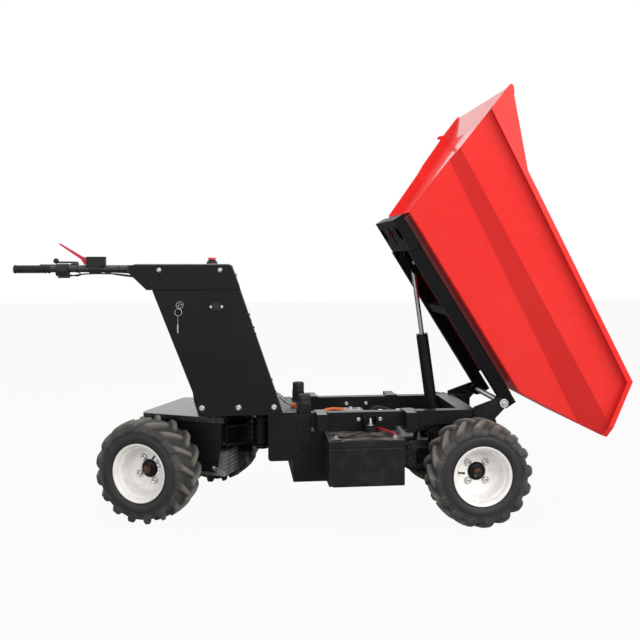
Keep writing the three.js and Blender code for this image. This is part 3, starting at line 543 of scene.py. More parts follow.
coated("cylinder_barrel", ram_coat, 0.0015)
coated("cylinder_rod", chrome.material, 0.001)


def joint_of(body):
    """The joint that carries a body."""
    return next(j for j in frame["joints"] if j["child"] == body)


def joint_place(body):
    return Vector(joint_of(body)["pos_m"])


def joint_axis(body):
    return Vector(joint_of(body)["axis"]).normalized()


ram_foot, ram_axis = joint_place("cylinder_barrel"), joint_axis("cylinder_rod")
BARREL_LENGTH = 0.414


def turned_at(name, profile, place, axis=UP, sides=32, angle=35):
    """A turned shape that stands on a place and points along an axis."""
    mesh = smooth(turned_mesh(name, profile, sides), angle)
    mesh.transform(Matrix.Translation(place) @ Vector(axis).to_track_quat("Z", "Y").to_matrix().to_4x4())
    return mesh


gland = turned_at("gland", [
    (0.0107, 0), (0.0215, 0), (0.0215, 0.003), (0.0245, 0.003), (0.0248, 0.006), (0.0235, 0.007),
    (0.0107, 0.007), (0.0107, 0),
], ram_foot + ram_axis * BARREL_LENGTH, ram_axis, 48)
one_piece("ram_gland_nut", gland, ram_coat, "cylinder_barrel", "black_paint")


# ---------------------------------------------------------------------------- axles and gear motors
# Cast-aluminium gear cases on steel axle tubes. The rear one and the pump are bare grey metal, rough
# from the mould, with patches of grease and road dirt; the front one is painted black.
def cast_alloy():
    """Grainy grey aluminium under patches of dark dirt."""
    metal = Finish("cast_alloy", Metallic=0.55, Specular_IOR_Level=0.4)
    cloud = metal.noise(14, 5)
    dirt = metal.band(cloud, 0.42, 0.62)
    grain = metal.noise(420, 3)
    undarkened = metal.mix(grain, (0.27, 0.27, 0.268), (0.50, 0.50, 0.49))
    metal.set("Base Color", metal.mix(dirt * 0.6, undarkened, (0.035, 0.032, 0.028)))
    metal.set("Roughness", dirt * 0.25 + 0.42)
    metal.bump(grain, 0.0005, 0.45)
    return metal.material


grey_casting = cast_alloy()
for node in ("rear_axle", "hydraulic_pump"):
    coated(node, grey_casting, 0.0014)
coated("front_axle", black_coat("front_axle_paint", 0.8), 0.0014)

CASE_BOLTS, CASE_FACE, CASE_CIRCLE, FIRST_BOLT = 8, 0.0618, 0.052, 0.2
for end in ("front", "rear"):
    right_end, left_end = joint_place(f"{end}_wheel_right"), joint_place(f"{end}_wheel_left")
    centre = (right_end + left_end) / 2
    facing = (right_end - left_end).normalized()
    across_it = Vector((facing.y, -facing.x, 0))
    ring = []
    for angle in circle(CASE_BOLTS):
        outwards = across_it * math.cos(angle + FIRST_BOLT) + UP * math.sin(angle + FIRST_BOLT)
        ring.append((centre + facing * CASE_FACE + outwards * CASE_CIRCLE, facing, 0.0062))
    fasten(f"{end}_axle_case_bolts", body_of(f"{end}_axle"), "hexagon", ring, slot="cast_alloy")


# ------------------------------------------------------------------ batteries, their clamps and cables
# Two sealed batteries in moulded black cases: a lid with a groove round it, a gripping ledge and two
# bare posts. A black knob on a zinc-plated rod holds each down, from a black bracket on the rail.
def moulded(name, shade=0.012, grain=320, rough=0.42, dust=0.25, settled=0.0):
    """Black plastic, scuffed and dusty; settled adds grey-brown dust on its level faces."""
    plastic = Finish(name, Specular_IOR_Level=0.24)
    flecks = plastic.noise(grain, 3)
    scuffs = plastic.noise(18, 5)
    dusty = plastic.band(scuffs, 0.45, 0.8) * dust
    dark, pale = (shade, shade, shade * 1.05), (0.08, 0.077, 0.072)
    colour = plastic.mix(dusty, dark, pale)
    if settled:
        level_face = plastic.band(plastic.upward(), 0.8, 0.95)
        drift = plastic.band(plastic.noise(26, 5), 0.35, 0.7) * settled
        colour = plastic.mix(level_face * drift, colour, (0.21, 0.19, 0.168))
    plastic.set("Base Color", colour)
    plastic.set("Roughness", scuffs * 0.2 + rough)
    plastic.bump(flecks, 0.0002, 0.4)
    return plastic.material


def block(bm, low, high):
    """A box between two corners."""
    corners = [[low[i], high[i]] for i in range(3)]
    verts = [bm.verts.new((x, y, z)) for z in corners[2] for y in corners[1] for x in corners[0]]
    for a, b, c, d in ((0, 2, 3, 1), (4, 5, 7, 6), (0, 1, 5, 4), (2, 6, 7, 3), (0, 4, 6, 2), (1, 3, 7, 5)):
        bm.faces.new([verts[i] for i in (a, b, c, d)])


def blocks(name, boxes, width=0.001):
    """Boxes with eased edges, each given by two corners."""
    bm = bmesh.new()
    for low, high in boxes:
        block(bm, low, high)
    return ease_edges(outward(bm, name), width)


def joined(name, meshes):
    """Several meshes as one."""
    bm = bmesh.new()
    for mesh in meshes:
        bm.from_mesh(mesh)
        bpy.data.meshes.remove(mesh)
    return mesh_of(bm, name)


def cable_mesh(name, points, radius, order=4):
    """A round cable with closed ends along a NURBS curve through its points."""
    curve = bpy.data.curves.new(name, "CURVE")
    curve.dimensions = "3D"
    curve.bevel_depth = radius
    curve.bevel_resolution = 3
    curve.use_fill_caps = True
    curve.resolution_u = 6
    spline = curve.splines.new("NURBS")
    spline.points.add(len(points) - 1)
    for knot, point in zip(spline.points, points):
        knot.co = (*point, 1)
    spline.order_u = min(order, len(points))
    spline.use_endpoint_u = True
    rough = in_scene(name, curve)
    evaluated = rough.evaluated_get(bpy.context.evaluated_depsgraph_get())
    open_ended = bpy.data.meshes.new_from_object(evaluated)
    bpy.data.objects.remove(rough)
    bpy.data.curves.remove(curve)
    bm = bmesh.new()
    bm.from_mesh(open_ended)
    bpy.data.meshes.remove(open_ended)
    return smooth(sealed(bm, name), 60)


def jacket(name, colour, rough=0.35):
    """Coloured plastic, darker where it is worn: cable jackets, caps and buttons."""
    skin = Finish(name, Specular_IOR_Level=0.4)
    wear = skin.noise(160, 3)
    worn = tuple(c * 0.6 for c in colour)
    skin.set("Base Color", skin.mix(wear, worn, colour))
    skin.set("Roughness", wear * 0.2 + rough)
    skin.bump(skin.noise(700, 2), 0.00015, 0.3)
    return skin.material


battery_case = moulded("battery_case", 0.0055, 260, 0.36, 0.22, 0.8)
knob_plastic = moulded("knob_plastic", 0.01, 500, 0.4, 0.1)
red_jacket = jacket("red_cable", (0.55, 0.012, 0.03))
orange_jacket = jacket("orange_cable", (0.86, 0.16, 0.03))
LID, GROOVE, GROOVE_DEPTH = 0.026, 0.004, 0.0025
CLAMP_HALF, CLAMP_WALL, CLAMP_REACH, CLAMP_FOOT, CLAMP_TOP = 0.026, 0.004, 0.040, 0.374, 0.412
clamp_x = sum(RAIL_BOLTS_X) / 2
THREAD_TURNS, THREAD_PITCH = 26, 0.0022
POSTS_X, POST_INSET = (0.262, 0.032), 0.045
POST = [(0, 0), (0.011, 0), (0.011, 0.004), (0.008, 0.005), (0.008, 0.011), (0, 0.011)]


def case_boxes(low, high):
    """The case, the waist inside the groove and the lid."""
    groove_top = high.z - LID
    return [
        (low, (high.x, high.y, groove_top - GROOVE)),
        ((low.x + GROOVE_DEPTH, low.y + GROOVE_DEPTH, groove_top - 0.01),
         (high.x - GROOVE_DEPTH, high.y - GROOVE_DEPTH, groove_top + 0.01)),
        ((low.x, low.y, groove_top), (high.x, high.y, high.z)),
    ]


def lid_boxes(low, high, edge):
    """The ledge and the pad along the outer edge of the lid, and its raised middle."""
    foot = high.z - 0.001
    return [
        ((low.x + 0.06, edge[0], foot), (high.x - 0.07, edge[1], high.z + 0.003)),
        ((low.x + 0.008, edge[0] + 0.004, foot), (low.x + 0.05, edge[1], high.z + 0.005)),
        ((low.x + 0.03, low.y + 0.06, foot), (high.x - 0.03, high.y - 0.05, high.z + 0.004)),
    ]


def clamp_boxes(face, sign):
    """A folded bracket on the rail: two wings, a back and a floor."""
    wings = sorted((face + sign * 0.0005, face + sign * CLAMP_REACH))
    back = sorted((face + sign * 0.0005, face + sign * CLAMP_WALL))
    wing_end = wings[1] - 0.012 * (sign > 0)
    x0, x1 = clamp_x - CLAMP_HALF, clamp_x + CLAMP_HALF
    return [
        ((x0, wings[0], CLAMP_FOOT), (x0 + CLAMP_WALL, wing_end, CLAMP_TOP)),
        ((x1 - CLAMP_WALL, wings[0], CLAMP_FOOT), (x1, wing_end, CLAMP_TOP)),
        ((x0, back[0], CLAMP_FOOT), (x1, back[1], CLAMP_TOP)),
        ((x0, wings[0], CLAMP_FOOT), (x1, wings[1], CLAMP_FOOT + CLAMP_WALL)),
    ]


def threaded_rod(place):
    """A threaded rod with the nut and the washer that press on the bracket."""
    thread = [(0, -0.002)]
    for i in range(THREAD_TURNS):
        thread += [(0.0042, i * THREAD_PITCH), (0.0048, (i + 0.5) * THREAD_PITCH)]
    thread += [(0, THREAD_TURNS * THREAD_PITCH)]
    nut = [(0.0049, 0.03), (0.009, 0.03), (0.009, 0.037), (0.0049, 0.037), (0.0049, 0.03)]
    washer = [(0.005, 0.0280), (0.014, 0.0280), (0.014, 0.0298), (0.005, 0.0298), (0.005, 0.0280)]
    return joined("clamp_rod", [
        turned_at("thread", thread, place, UP, 14),
        turned_at("nut", nut, place, UP, 6, 20),
        turned_at("washer", washer, place, UP, 24),
    ])


def bridged(bm, rings, ends):
    """Bands of faces between rings of equal count; their ends are "joined" to each other or "capped"."""
    followers = rings[1:]
    if ends == "joined":
        followers = rings[1:] + rings[:1]
    for near, far in zip(rings, followers):
        for i in range(len(near)):
            j = (i + 1) % len(near)
            bm.faces.new((near[i], near[j], far[j], far[i]))
    if ends == "capped":
        bm.faces.new(list(reversed(rings[0])))
        bm.faces.new(rings[-1])


def knob_mesh(place):
    """A fluted knob with eased rims."""
    flutes, points_a_flute = 12, 3
    bm = bmesh.new()
    rings = []
    for height, share in ((0.0005, 0.93), (0.0025, 1.0), (0.016, 1.0), (0.0185, 0.9)):
        ring = []
        for i, angle in enumerate(circle(flutes * points_a_flute)):
            radius = share * (0.0215 if i % points_a_flute else 0.0195)
            ring.append(bm.verts.new((radius * math.cos(angle), radius * math.sin(angle), height)))
        rings.append(ring)
    bridged(bm, rings, "capped")
    knob = mesh_of(bm, "knob")
    knob.transform(Matrix.Translation(place))
    return smooth(knob, 30)


for side, sign in (("right", -1), ("left", 1)):
    low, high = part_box(f"battery_{side}")
    case = blocks(f"battery_{side}", case_boxes(low, high), 0.0018)
    one_piece(f"battery_{side}_case", case, battery_case, "chassis", "black_plastic", f"battery_{side}")
    outer = low.y if sign < 0 else high.y
    edge = sorted((outer - sign * 0.001, outer - sign * 0.03))
    ledges = blocks("ledges", lid_boxes(low, high, edge))
    one_piece(f"battery_{side}_ledges", ledges, battery_case, "chassis", "black_plastic")

    face = middle_y + sign * RAIL_FACE
    clamp = blocks("clamp", clamp_boxes(face, sign), 0.0008)
    one_piece(f"clamp_bracket_{side}", clamp, chassis_coat, "chassis", "black_paint")
    rod_at = Vector((clamp_x, face + sign * 0.028, high.z))
    one_piece(f"clamp_rod_{side}", threaded_rod(rod_at), bright_zinc, "chassis", "bright_steel")
    knob = knob_mesh(rod_at + UP * 0.003)
    one_piece(f"clamp_knob_{side}", knob, knob_plastic, "chassis", "black_plastic")

    # Two posts for the cable ends, and the red cable that runs inwards under the rail.
    post_y = outer - sign * POST_INSET
    posts = [turned_at("post", POST, (low.x + x, post_y, high.z), UP, 20) for x in POSTS_X]
    one_piece(f"battery_posts_{side}", joined("posts", posts), bright_zinc, "chassis", "bright_steel")
    end_x = low.x + POSTS_X[0]
    run = [
        (end_x, post_y, high.z + 0.012), (end_x - 0.004, post_y - sign * 0.015, high.z + 0.014),
        (0.225, face + sign * 0.04, 0.366), (0.200, face + sign * 0.006, 0.362),
        (0.180, face - sign * 0.03, 0.352), (0.160, face - sign * 0.10, 0.34),
    ]
    red = cable_mesh("red", run, 0.0042)
    one_piece(f"battery_cable_{side}", red, red_jacket, "chassis", "red_plastic")

# One orange cable arches from the control box to the pump.
orange_arc = [
    (-0.035, -0.150, 0.352), (-0.02, -0.150, 0.395), (0.02, -0.140, 0.408), (0.06, -0.130, 0.412),
    (0.10, -0.120, 0.405), (0.13, -0.110, 0.375), (0.14, -0.10, 0.34), (0.14, -0.06, 0.325),
]
one_piece("orange_cable", cable_mesh("orange", orange_arc, 0.0065), orange_jacket, "chassis", "red_plastic")


# ----------------------------------------------------------------- pump valve, hoses, horn and wires
# The pump's pale valve block with its fittings, rubber hoses to the ram and the axles, a grey horn
# capsule on the frame, and the wires that leave the console's foot through one orange connector.
hose_rubber = moulded("hose_rubber", 0.016, 600, 0.5, 0.5)
pump_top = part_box("hydraulic_pump")[1].z
VALVE_HEIGHT, CAP_HEIGHT = 0.045, 0.020
valve_metal = Finish("valve_block", Metallic=0.6)
valve_cloud = valve_metal.noise(60, 4)
valve_metal.set("Base Color", valve_metal.mix(valve_cloud, (0.3, 0.29, 0.27), (0.62, 0.6, 0.56)))
valve_metal.set("Roughness", valve_cloud * 0.25 + 0.3)
valve_metal.bump(valve_metal.noise(500, 2), 0.0002, 0.4)
valve = blocks("valve", [
    ((0.10, -0.030, pump_top + 0.0005), (0.20, 0.030, pump_top + VALVE_HEIGHT)),
    ((0.21, -0.022, pump_top - 0.004), (0.26, 0.022, pump_top + CAP_HEIGHT)),
])
one_piece("pump_valve_block", valve, valve_metal.material, "chassis", "cast_alloy")
FITTINGS = ((0.12, -0.012, VALVE_HEIGHT), (0.15, 0.012, VALVE_HEIGHT), (0.182, -0.010, VALVE_HEIGHT),
            (0.235, 0, CAP_HEIGHT))
pump_fittings = [((x, y, pump_top + height), UP, 0.011) for x, y, height in FITTINGS]
fasten("pump_fittings", "chassis", "hexagon", pump_fittings, zinc("fitting_zinc", 0.5))

HOSES = {
    "hose_to_ram": [
        (0.235, 0.0, pump_top + 0.022), (0.235, 0.0, 0.392), (0.30, -0.012, 0.392), (0.38, -0.030, 0.345),
        (0.44, -0.040, 0.330), (0.475, -0.045, 0.325), (0.492, -0.050, 0.312), (0.494, -0.066, 0.302),
    ],
    "hose_loop": [
        (0.430, -0.215, 0.345), (0.385, -0.225, 0.345), (0.335, -0.232, 0.31), (0.315, -0.235, 0.26),
        (0.325, -0.235, 0.20), (0.365, -0.225, 0.175), (0.40, -0.20, 0.17), (0.43, -0.16, 0.18),
    ],
    "hose_upper": [
        (0.315, -0.225, 0.322), (0.35, -0.230, 0.338), (0.40, -0.222, 0.336), (0.45, -0.21, 0.342),
        (0.48, -0.20, 0.340), (0.50, -0.185, 0.31), (0.50, -0.18, 0.28),
    ],
    "motor_lead": [
        (0.29, -0.10, 0.262), (0.34, -0.13, 0.255), (0.38, -0.17, 0.262), (0.42, -0.18, 0.275),
        (0.45, -0.16, 0.262), (0.46, -0.13, 0.24),
    ],
}
HOSE_RADIUS, LEAD_RADIUS = 0.0075, 0.0045
for name, run in HOSES.items():
    radius = LEAD_RADIUS if name == "motor_lead" else HOSE_RADIUS
    one_piece(name, cable_mesh(name, run, radius), hose_rubber, "chassis", "rubber")

braid = Finish("braided_sleeve", Metallic=0.75)
threads = {"Vector": braid.here(), "Scale": 260}
weave = braid.add("ShaderNodeTexWave", {"bands_direction": "DIAGONAL"}, threads)
braid.set("Base Color", braid.mix(weave, (0.06, 0.058, 0.055), (0.42, 0.4, 0.37)))
braid.set("Roughness", weave * 0.2 + 0.3)
braid.bump(weave, 0.0006, 0.6)
sleeve_run = [
    (0.308, -0.238, 0.300), (0.320, -0.238, 0.315), (0.345, -0.236, 0.322), (0.368, -0.232, 0.315),
]
sleeve = cable_mesh("sleeve", sleeve_run, 0.011)
one_piece("hose_fitting_sleeve", sleeve, braid.material, "chassis", "bright_steel")

horn_skin = Finish("horn_grey", Specular_IOR_Level=0.5)
horn_cloud = horn_skin.noise(30, 3)
horn_skin.set("Base Color", horn_skin.mix(horn_cloud, (0.20, 0.22, 0.26), (0.34, 0.36, 0.41)))
horn_skin.set("Roughness", horn_cloud * 0.2 + 0.22)
horn_profile = [
    (0, 0.066), (0.010, 0.066), (0.0145, 0.062), (0.0155, 0.052), (0.0155, 0.048), (0.0165, 0.046),
    (0.0165, 0.014), (0.0155, 0.008), (0.012, 0.002), (0.006, 0), (0, 0),
]
horn = turned_at("horn", horn_profile, (0.326, -0.262, 0.315), (-0.42, 0.06, 0.9), 28)
one_piece("horn_capsule", horn, horn_skin.material, "chassis", "cast_alloy")
horn_strap = blocks("horn_strap", [((0.300, -0.262, 0.342), (0.312, -0.2455, 0.366))])
one_piece("horn_strap", horn_strap, chassis_coat, "chassis", "black_paint")

WIRES = {
    "blue": ((0.02, 0.16, 0.62), 0.006),
    "yellow": ((0.75, 0.6, 0.04), 0.0),
    "white": ((0.6, 0.6, 0.6), -0.006),
    "black": ((0.015, 0.015, 0.015), -0.012),
}
WIRES_Y = -0.150
connector = (-0.118, WIRES_Y, 0.436)
for name, (colour, shift) in WIRES.items():
    run = [
        (-0.190, WIRES_Y + shift, 0.492), (-0.172, WIRES_Y + shift, 0.478 + shift / 2),
        (-0.150, WIRES_Y + shift, 0.458 + shift), (-0.135, WIRES_Y + shift / 2, 0.444 + shift / 2),
        connector,
    ]
    wire = cable_mesh(name, run, 0.0018)
    one_piece(f"console_wire_{name}", wire, jacket(f"{name}_wire", colour), "chassis", "black_plastic")
orange_plastic = jacket("orange_connector", (0.86, 0.18, 0.04), 0.3)
plug = blocks("plug", [
    ((-0.124, -0.162, 0.425), (-0.104, -0.138, 0.440)),
    ((-0.106, -0.159, 0.4235), (-0.1015, -0.141, 0.436)),
])
one_piece("wire_connector", plug, orange_plastic, "chassis", "red_plastic")


# --------------------------------------------------------------------- outriggers on the rails' saddles
# Four short box brackets stand out from the saddles and steady the lowered tub. Their black coat is painted pale
# grey on the level tops, in patches.
saddle_coat = Finish("saddle_coat_pale_tops", Specular_IOR_Level=0.2)
scuffs = saddle_coat.noise(45, 5)
# The level tops are painted pale grey in patches, lighter than the black sides.
pale_top = saddle_coat.band(saddle_coat.upward(), 0.8, 0.95) * (scuffs * 0.5 + 0.5)
saddle_coat.set("Base Color", saddle_coat.mix(pale_top, (0.0042, 0.0044, 0.0048), (0.34, 0.335, 0.32)))
saddle_coat.set("Roughness", scuffs * 0.2 + 0.42)

SADDLES_X = (-0.014, 0.341)
RAIL_TOP, RAIL_WIDTH, SADDLE_WALL = 0.425, 0.040, 0.004
SADDLE_FACE = RAIL_FACE + SADDLE_WALL
OUTRIGGER_HALF, OUTRIGGER_REACH, OUTRIGGER_DROP, PLATE, WELD_GAP = 0.020, 0.058, 0.058, 0.0015, 0.0002
saddle_top = RAIL_TOP + SADDLE_WALL


def outrigger_boxes(x, sign):
    """The box that stands out from a saddle, and the plate that covers both."""
    inner, face, reach = (middle_y + sign * y for y in (
        RAIL_FACE - RAIL_WIDTH, SADDLE_FACE + WELD_GAP, SADDLE_FACE + OUTRIGGER_REACH,
    ))
    x0, x1 = x - OUTRIGGER_HALF, x + OUTRIGGER_HALF
    return [
        ((x0, min(face, reach), saddle_top - OUTRIGGER_DROP), (x1, max(face, reach), saddle_top)),
        ((x0, min(inner, reach), saddle_top + WELD_GAP), (x1, max(inner, reach), saddle_top + PLATE)),
    ]


for side, sign in (("right", -1), ("left", 1)):
    boxes = [box for x in SADDLES_X for box in outrigger_boxes(x, sign)]
    pair = blocks("outriggers", boxes, 0.0006)
    one_piece(f"rail_outriggers_{side}", pair, saddle_coat.material, "chassis", "black_paint")
outrigger_screws = []
for x in SADDLES_X:
    outrigger_screws += both_sides(x, SADDLE_FACE + OUTRIGGER_REACH, saddle_top - 0.040, 0.004)
fasten("outrigger_screws", "chassis", "domed", outrigger_screws, saddle_coat.material, "black_paint")


# ------------------------------------------------------------------------------- console of sheet steel
# A raked column and a wider head, folded from sheet and coated black, held by domed zinc screws. The
# key switch, charging socket, pale lid and stop button are bought parts fitted into it.
console_coat = black_coat("console_powder_coat", 0.12)
coated("console_body", console_coat, 0.0022, 3)

head_low, head_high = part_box("console_head")
body_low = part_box("console_body")[0]
coated("console_head", console_coat, 0.0022, 3)
HEAD_FACE = middle_y - head_low.y
BODY_FACE = middle_y - body_low.y


def screws(spots, face, radius):
    """Screws on both sides of the console, from their (x, z) spots."""
    return [screw for x, z in spots for screw in both_sides(x, face, z, radius)]


console_screws = screws([(-0.645, 0.9935), (-0.410, 0.993)], HEAD_FACE, 0.0088)
console_screws += screws([(-0.480, 0.454), (-0.338, 0.453), (-0.199, 0.452)], BODY_FACE, 0.0112)
console_screws += screws([(-0.517, 0.482)], BODY_FACE, 0.005)
fasten("console_screws", "chassis", "domed", console_screws)

# Screws of the front cover, square to its sloping face, and drilled holes in the sides, drawn as near-black discs
# of painted shade.
FOOT_FRONT_X, HEAD_FRONT_X, HEAD_TOP_Z = -0.162, -0.366, 1.012
cover_slope = (HEAD_FRONT_X - FOOT_FRONT_X) / (HEAD_TOP_Z - body_low.z)
cover_lean = Vector((1, 0, -cover_slope)).normalized()
front_screws = []
COVER_SCREWS_Z = ((0.9685, 0.002), (0.793, 0), (0.737, 0), (0.508, 0))
for z, proud in COVER_SCREWS_Z:
    x = FOOT_FRONT_X + cover_slope * (z - body_low.z) + proud
    for y in (middle_y - 0.150, middle_y + 0.150):
        front_screws.append(((x, y, z), cover_lean, 0.0058))
blackened = black_coat("blackened_screw", 0.1)
fasten("cover_screws", "chassis", "domed", front_screws, blackened, "console_black")

# The holes are near-black discs on the face: painted shade for the dark inside of each hole.
painted_hole_shade = Finish("painted_hole_shade", Roughness=0.95, Specular_IOR_Level=0.05)
shade = painted_hole_shade.noise(300)
painted_hole_shade.set("Base Color", painted_hole_shade.mix(shade, (0.001, 0.001, 0.001), (0.003, 0.003, 0.003)))
HOLE = [(0, 0.0001), (0.0032, 0.0001), (0.0036, 0), (0.0036, -0.0006), (0, -0.0006)]
holes = []
for x, z, face in ((-0.645, 0.974, HEAD_FACE), (-0.641, 0.955, HEAD_FACE), (-0.500, 0.479, BODY_FACE)):
    for side in (-1, 1):
        spot = (x, middle_y + side * (face + 0.0002), z)
        holes.append(turned_at("hole", HOLE, spot, LEFT * side, 16))
one_piece("console_holes", joined("holes", holes), painted_hole_shade.material, "chassis", "console_black")

# Key switch: a black collar with a bright rim, the key in it, two split rings and a key that hangs.
KEY = Vector((-0.569, body_low.y, 0.853))
collar = turned_at("collar", [
    (0, 0.0035), (0.0065, 0.0035), (0.0075, 0.0045), (0.0105, 0.0042), (0.0125, 0.002), (0.013, 0), (0, 0),
], KEY, RIGHT, 32)
blade_corners = KEY + Vector((-0.0012, -0.016, -0.006)), KEY + Vector((0.0012, -0.003, 0.006))
blade = blocks("blade", [blade_corners], 0.0004)


def ring_mesh(place, radius, thick):
    """A wire ring that hangs in the X-Z plane."""
    bm = bmesh.new()
    rings = []
    for a in circle(40):
        out = Vector((math.cos(a), 0, math.sin(a)))
        ring = []
        for b in circle(8):
            across, aside = radius + thick * math.cos(b), thick * math.sin(b)
            ring.append(bm.verts.new(place + out * across + LEFT * aside))
        rings.append(ring)
    bridged(bm, rings, "joined")
    return smooth(outward(bm, "ring"), 60)


upper_ring = ring_mesh(KEY + Vector((0.004, -0.0125, 0.004)), 0.0135, 0.0007)
lower_ring = ring_mesh(KEY + Vector((-0.001, -0.014, -0.024)), 0.0135, 0.0009)
hung_x, hung_y = KEY.x - 0.003, KEY.y - 0.013
hanging = blocks("hanging", [
    ((hung_x - 0.0008, hung_y - 0.0008, KEY.z - 0.073), (hung_x + 0.0008, hung_y + 0.0008, KEY.z - 0.037)),
    ((hung_x - 0.0028, hung_y - 0.001, KEY.z - 0.104), (hung_x + 0.0028, hung_y + 0.001, KEY.z - 0.071)),
], 0.0004)
switch_plastic = moulded("switch_plastic", 0.01, 500, 0.3, 0.05)
one_piece("key_switch_collar", collar, switch_plastic, "chassis", "black_plastic")
rim_ring = ring_mesh(KEY + Vector((0, -0.0035, 0)), 0.0108, 0.0006)
keys = joined("keys", [rim_ring, blade, upper_ring, lower_ring, hanging])
one_piece("key_switch", keys, zinc("key_nickel", 0.2), "chassis", "bright_steel")

# Charging socket: a small moulded housing with a flap, between two white-capped screws.
SOCKET = Vector((-0.4245, body_low.y, 0.849))
socket_outline = [
    (-0.026, -0.004), (-0.017, -0.017), (0.017, -0.017), (0.026, -0.004), (0.026, 0.004), (0.017, 0.013),
    (-0.017, 0.013), (-0.026, 0.004),
]


def plate_mesh(name, outline, place, thick, ease):
    """A flat plate in X-Z that stands off the console's right face."""
    bm = bmesh.new()
    near = [bm.verts.new((place.x + x, place.y - thick, place.z + z)) for x, z in outline]
    far = [bm.verts.new((place.x + x, place.y, place.z + z)) for x, z in outline]
    bridged(bm, [far, near], "capped")
    return ease_edges(outward(bm, name), ease)


socket_plastic = moulded("socket_plastic", 0.02, 400, 0.45, 0.3)
flap = blocks("flap", [
    (SOCKET + Vector((-0.0155, -0.006, 0.013)), SOCKET + Vector((0.0155, 0, 0.0195))),
    (SOCKET + Vector((-0.012, -0.010, -0.013)), SOCKET + Vector((0.012, -0.003, 0.009))),
])
socket = joined("socket", [plate_mesh("plate", socket_outline, SOCKET, 0.004, 0.001), flap])
one_piece("charging_socket", socket, socket_plastic, "chassis", "black_plastic")
white_cap = jacket("white_screw_cap", (0.85, 0.85, 0.85))
fasten("socket_screws", "chassis", "domed", [
    ((SOCKET.x + shift, SOCKET.y - 0.0041, SOCKET.z), RIGHT, 0.0052) for shift in (-0.0215, 0.0215)
], white_cap, "bright_steel")

# The lid: a pale polycarbonate sheet with its protective film, on four small screws.
lid_film = Finish("lid_film", Coat_Weight=0.5, Specular_IOR_Level=0.5)
wrinkle = lid_film.noise(9, 4, (1, 3, 1))
lid_film.set("Base Color", lid_film.mix(wrinkle, (0.34, 0.33, 0.33), (0.62, 0.59, 0.58)))
lid_film.set("Roughness", wrinkle * 0.3 + 0.12)
lid_film.bump(wrinkle, 0.002, 0.5)
LID_MARGIN, LID_END, FILM_DEPTH, FILM_PROUD = 0.020, -0.374, 0.0006, 0.0012
lid_top = head_high.z
lid = blocks("lid", [
    ((head_low.x + 0.022, head_low.y + LID_MARGIN, lid_top - FILM_DEPTH),
     (LID_END, head_high.y - LID_MARGIN, lid_top + FILM_PROUD)),
], 0.0004)
one_piece("console_lid_film", lid, lid_film.material, "chassis", "console_black")
lid_screws = []
for x in (head_low.x + 0.032, -0.56, LID_END - 0.010):
    for y in (head_low.y + 0.030, head_high.y - 0.030):
        lid_screws.append(((x, y, lid_top + FILM_PROUD), UP, 0.0055))
fasten("lid_screws", "chassis", "domed", lid_screws)

# Stop button: a black dome for a base and a red mushroom head with a bright edge.
stop_low, stop_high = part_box("stop_button")
stop_at = Vector(((stop_low.x + stop_high.x) / 2, (stop_low.y + stop_high.y) / 2, stop_low.z))
dome = turned_at("dome", [
    (0, 0.0165), (0.0125, 0.0165), (0.0165, 0.0145), (0.0205, 0.0095), (0.0235, 0.003), (0.024, 0), (0, 0),
], stop_at, UP, 40)
base_plastic = moulded("stop_base_plastic", 0.012, 500, 0.35, 0.1)
one_piece("stop_button_base", dome, base_plastic, "chassis", "black_plastic")
mushroom = turned_at("mushroom", [
    (0, 0.0268), (0.008, 0.0266), (0.014, 0.0255), (0.0175, 0.0235), (0.019, 0.021), (0.019, 0.0195),
    (0.0175, 0.0185), (0.0128, 0.018), (0.0128, 0.0166), (0, 0.0166),
], stop_at, UP, 40)
red_plastic = jacket("stop_red_plastic", (0.78, 0.02, 0.025), 0.22)
one_piece("stop_button_head", mushroom, red_plastic, "chassis", "red_plastic", "stop_button")


# ------------------------------------------------------------------- handlebar, grips and hand controls
# One steel tube bar, coated black, with moulded rubber grips, a twist throttle and a cable-worked
# direction lever, and the red blade that works the tipping valve.
coated("handlebar", black_coat("handlebar_coat", 0.1, 0.6), 0.001)
grip_rubber = moulded("grip_rubber", 0.013, 700, 0.55, 0.15)
control_plastic = moulded("control_plastic", 0.013, 500, 0.38, 0.15)
coated("throttle_housing", control_plastic, 0.002, 3)
coated("direction_lever", control_plastic, 0.0012)
coated("lever_housing", control_plastic, 0.002, 3)

GRIP_LENGTH, GRIP_RADIUS, GRIP_RIBS, RIB_PITCH = 0.1335, 0.016, 13, 0.0083
BAR_SPLAY = 0.0768  # how far the handlebar's arms run outwards for each metre along


def grip_profile():
    """A flange, thirteen ribs, an end ring and the bore that the bar fills."""
    profile = [(0, 0), (0.0125, 0), (0.0152, 0.0015)]
    profile += [(GRIP_RADIUS, 0.004), (GRIP_RADIUS, 0.010), (0.0145, 0.012)]
    valley, crest = 0.0138, 0.0157
    for i in range(GRIP_RIBS):
        foot = 0.014 + i * RIB_PITCH
        profile += [(valley, foot), (crest, foot + 0.0018), (crest, foot + 0.0048), (valley, foot + 0.0068)]
    return profile + [
        (0.0135, 0.1235), (GRIP_RADIUS, 0.1245), (GRIP_RADIUS, 0.1325), (0.0155, GRIP_LENGTH),
        (0.0129, GRIP_LENGTH), (0.0129, 0.002), (0, 0.002),
    ]


for side, sign in (("right", -1), ("left", 1)):
    low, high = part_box(f"grip_{side}")
    along = Vector((1, -sign * BAR_SPLAY, 0)).normalized()
    outer_y = high.y if sign > 0 else low.y
    start = Vector((low.x + 0.0012, outer_y - sign * 0.0161, (low.z + high.z) / 2))
    grip = turned_at("grip", grip_profile(), start, along, 32, 28)
    one_piece(f"grip_{side}_moulded", grip, grip_rubber, "chassis", "rubber", f"grip_{side}")

# The red blade: flat, flared where it leaves the housing, with a turned-up tip.
blade_red = jacket("lever_red", (0.72, 0.022, 0.060), 0.28)
lever = eased("tip_lever", 0.0016, 3)
one_piece("tip_lever_blade", lever, blade_red, "chassis", "red_plastic", "tip_lever")

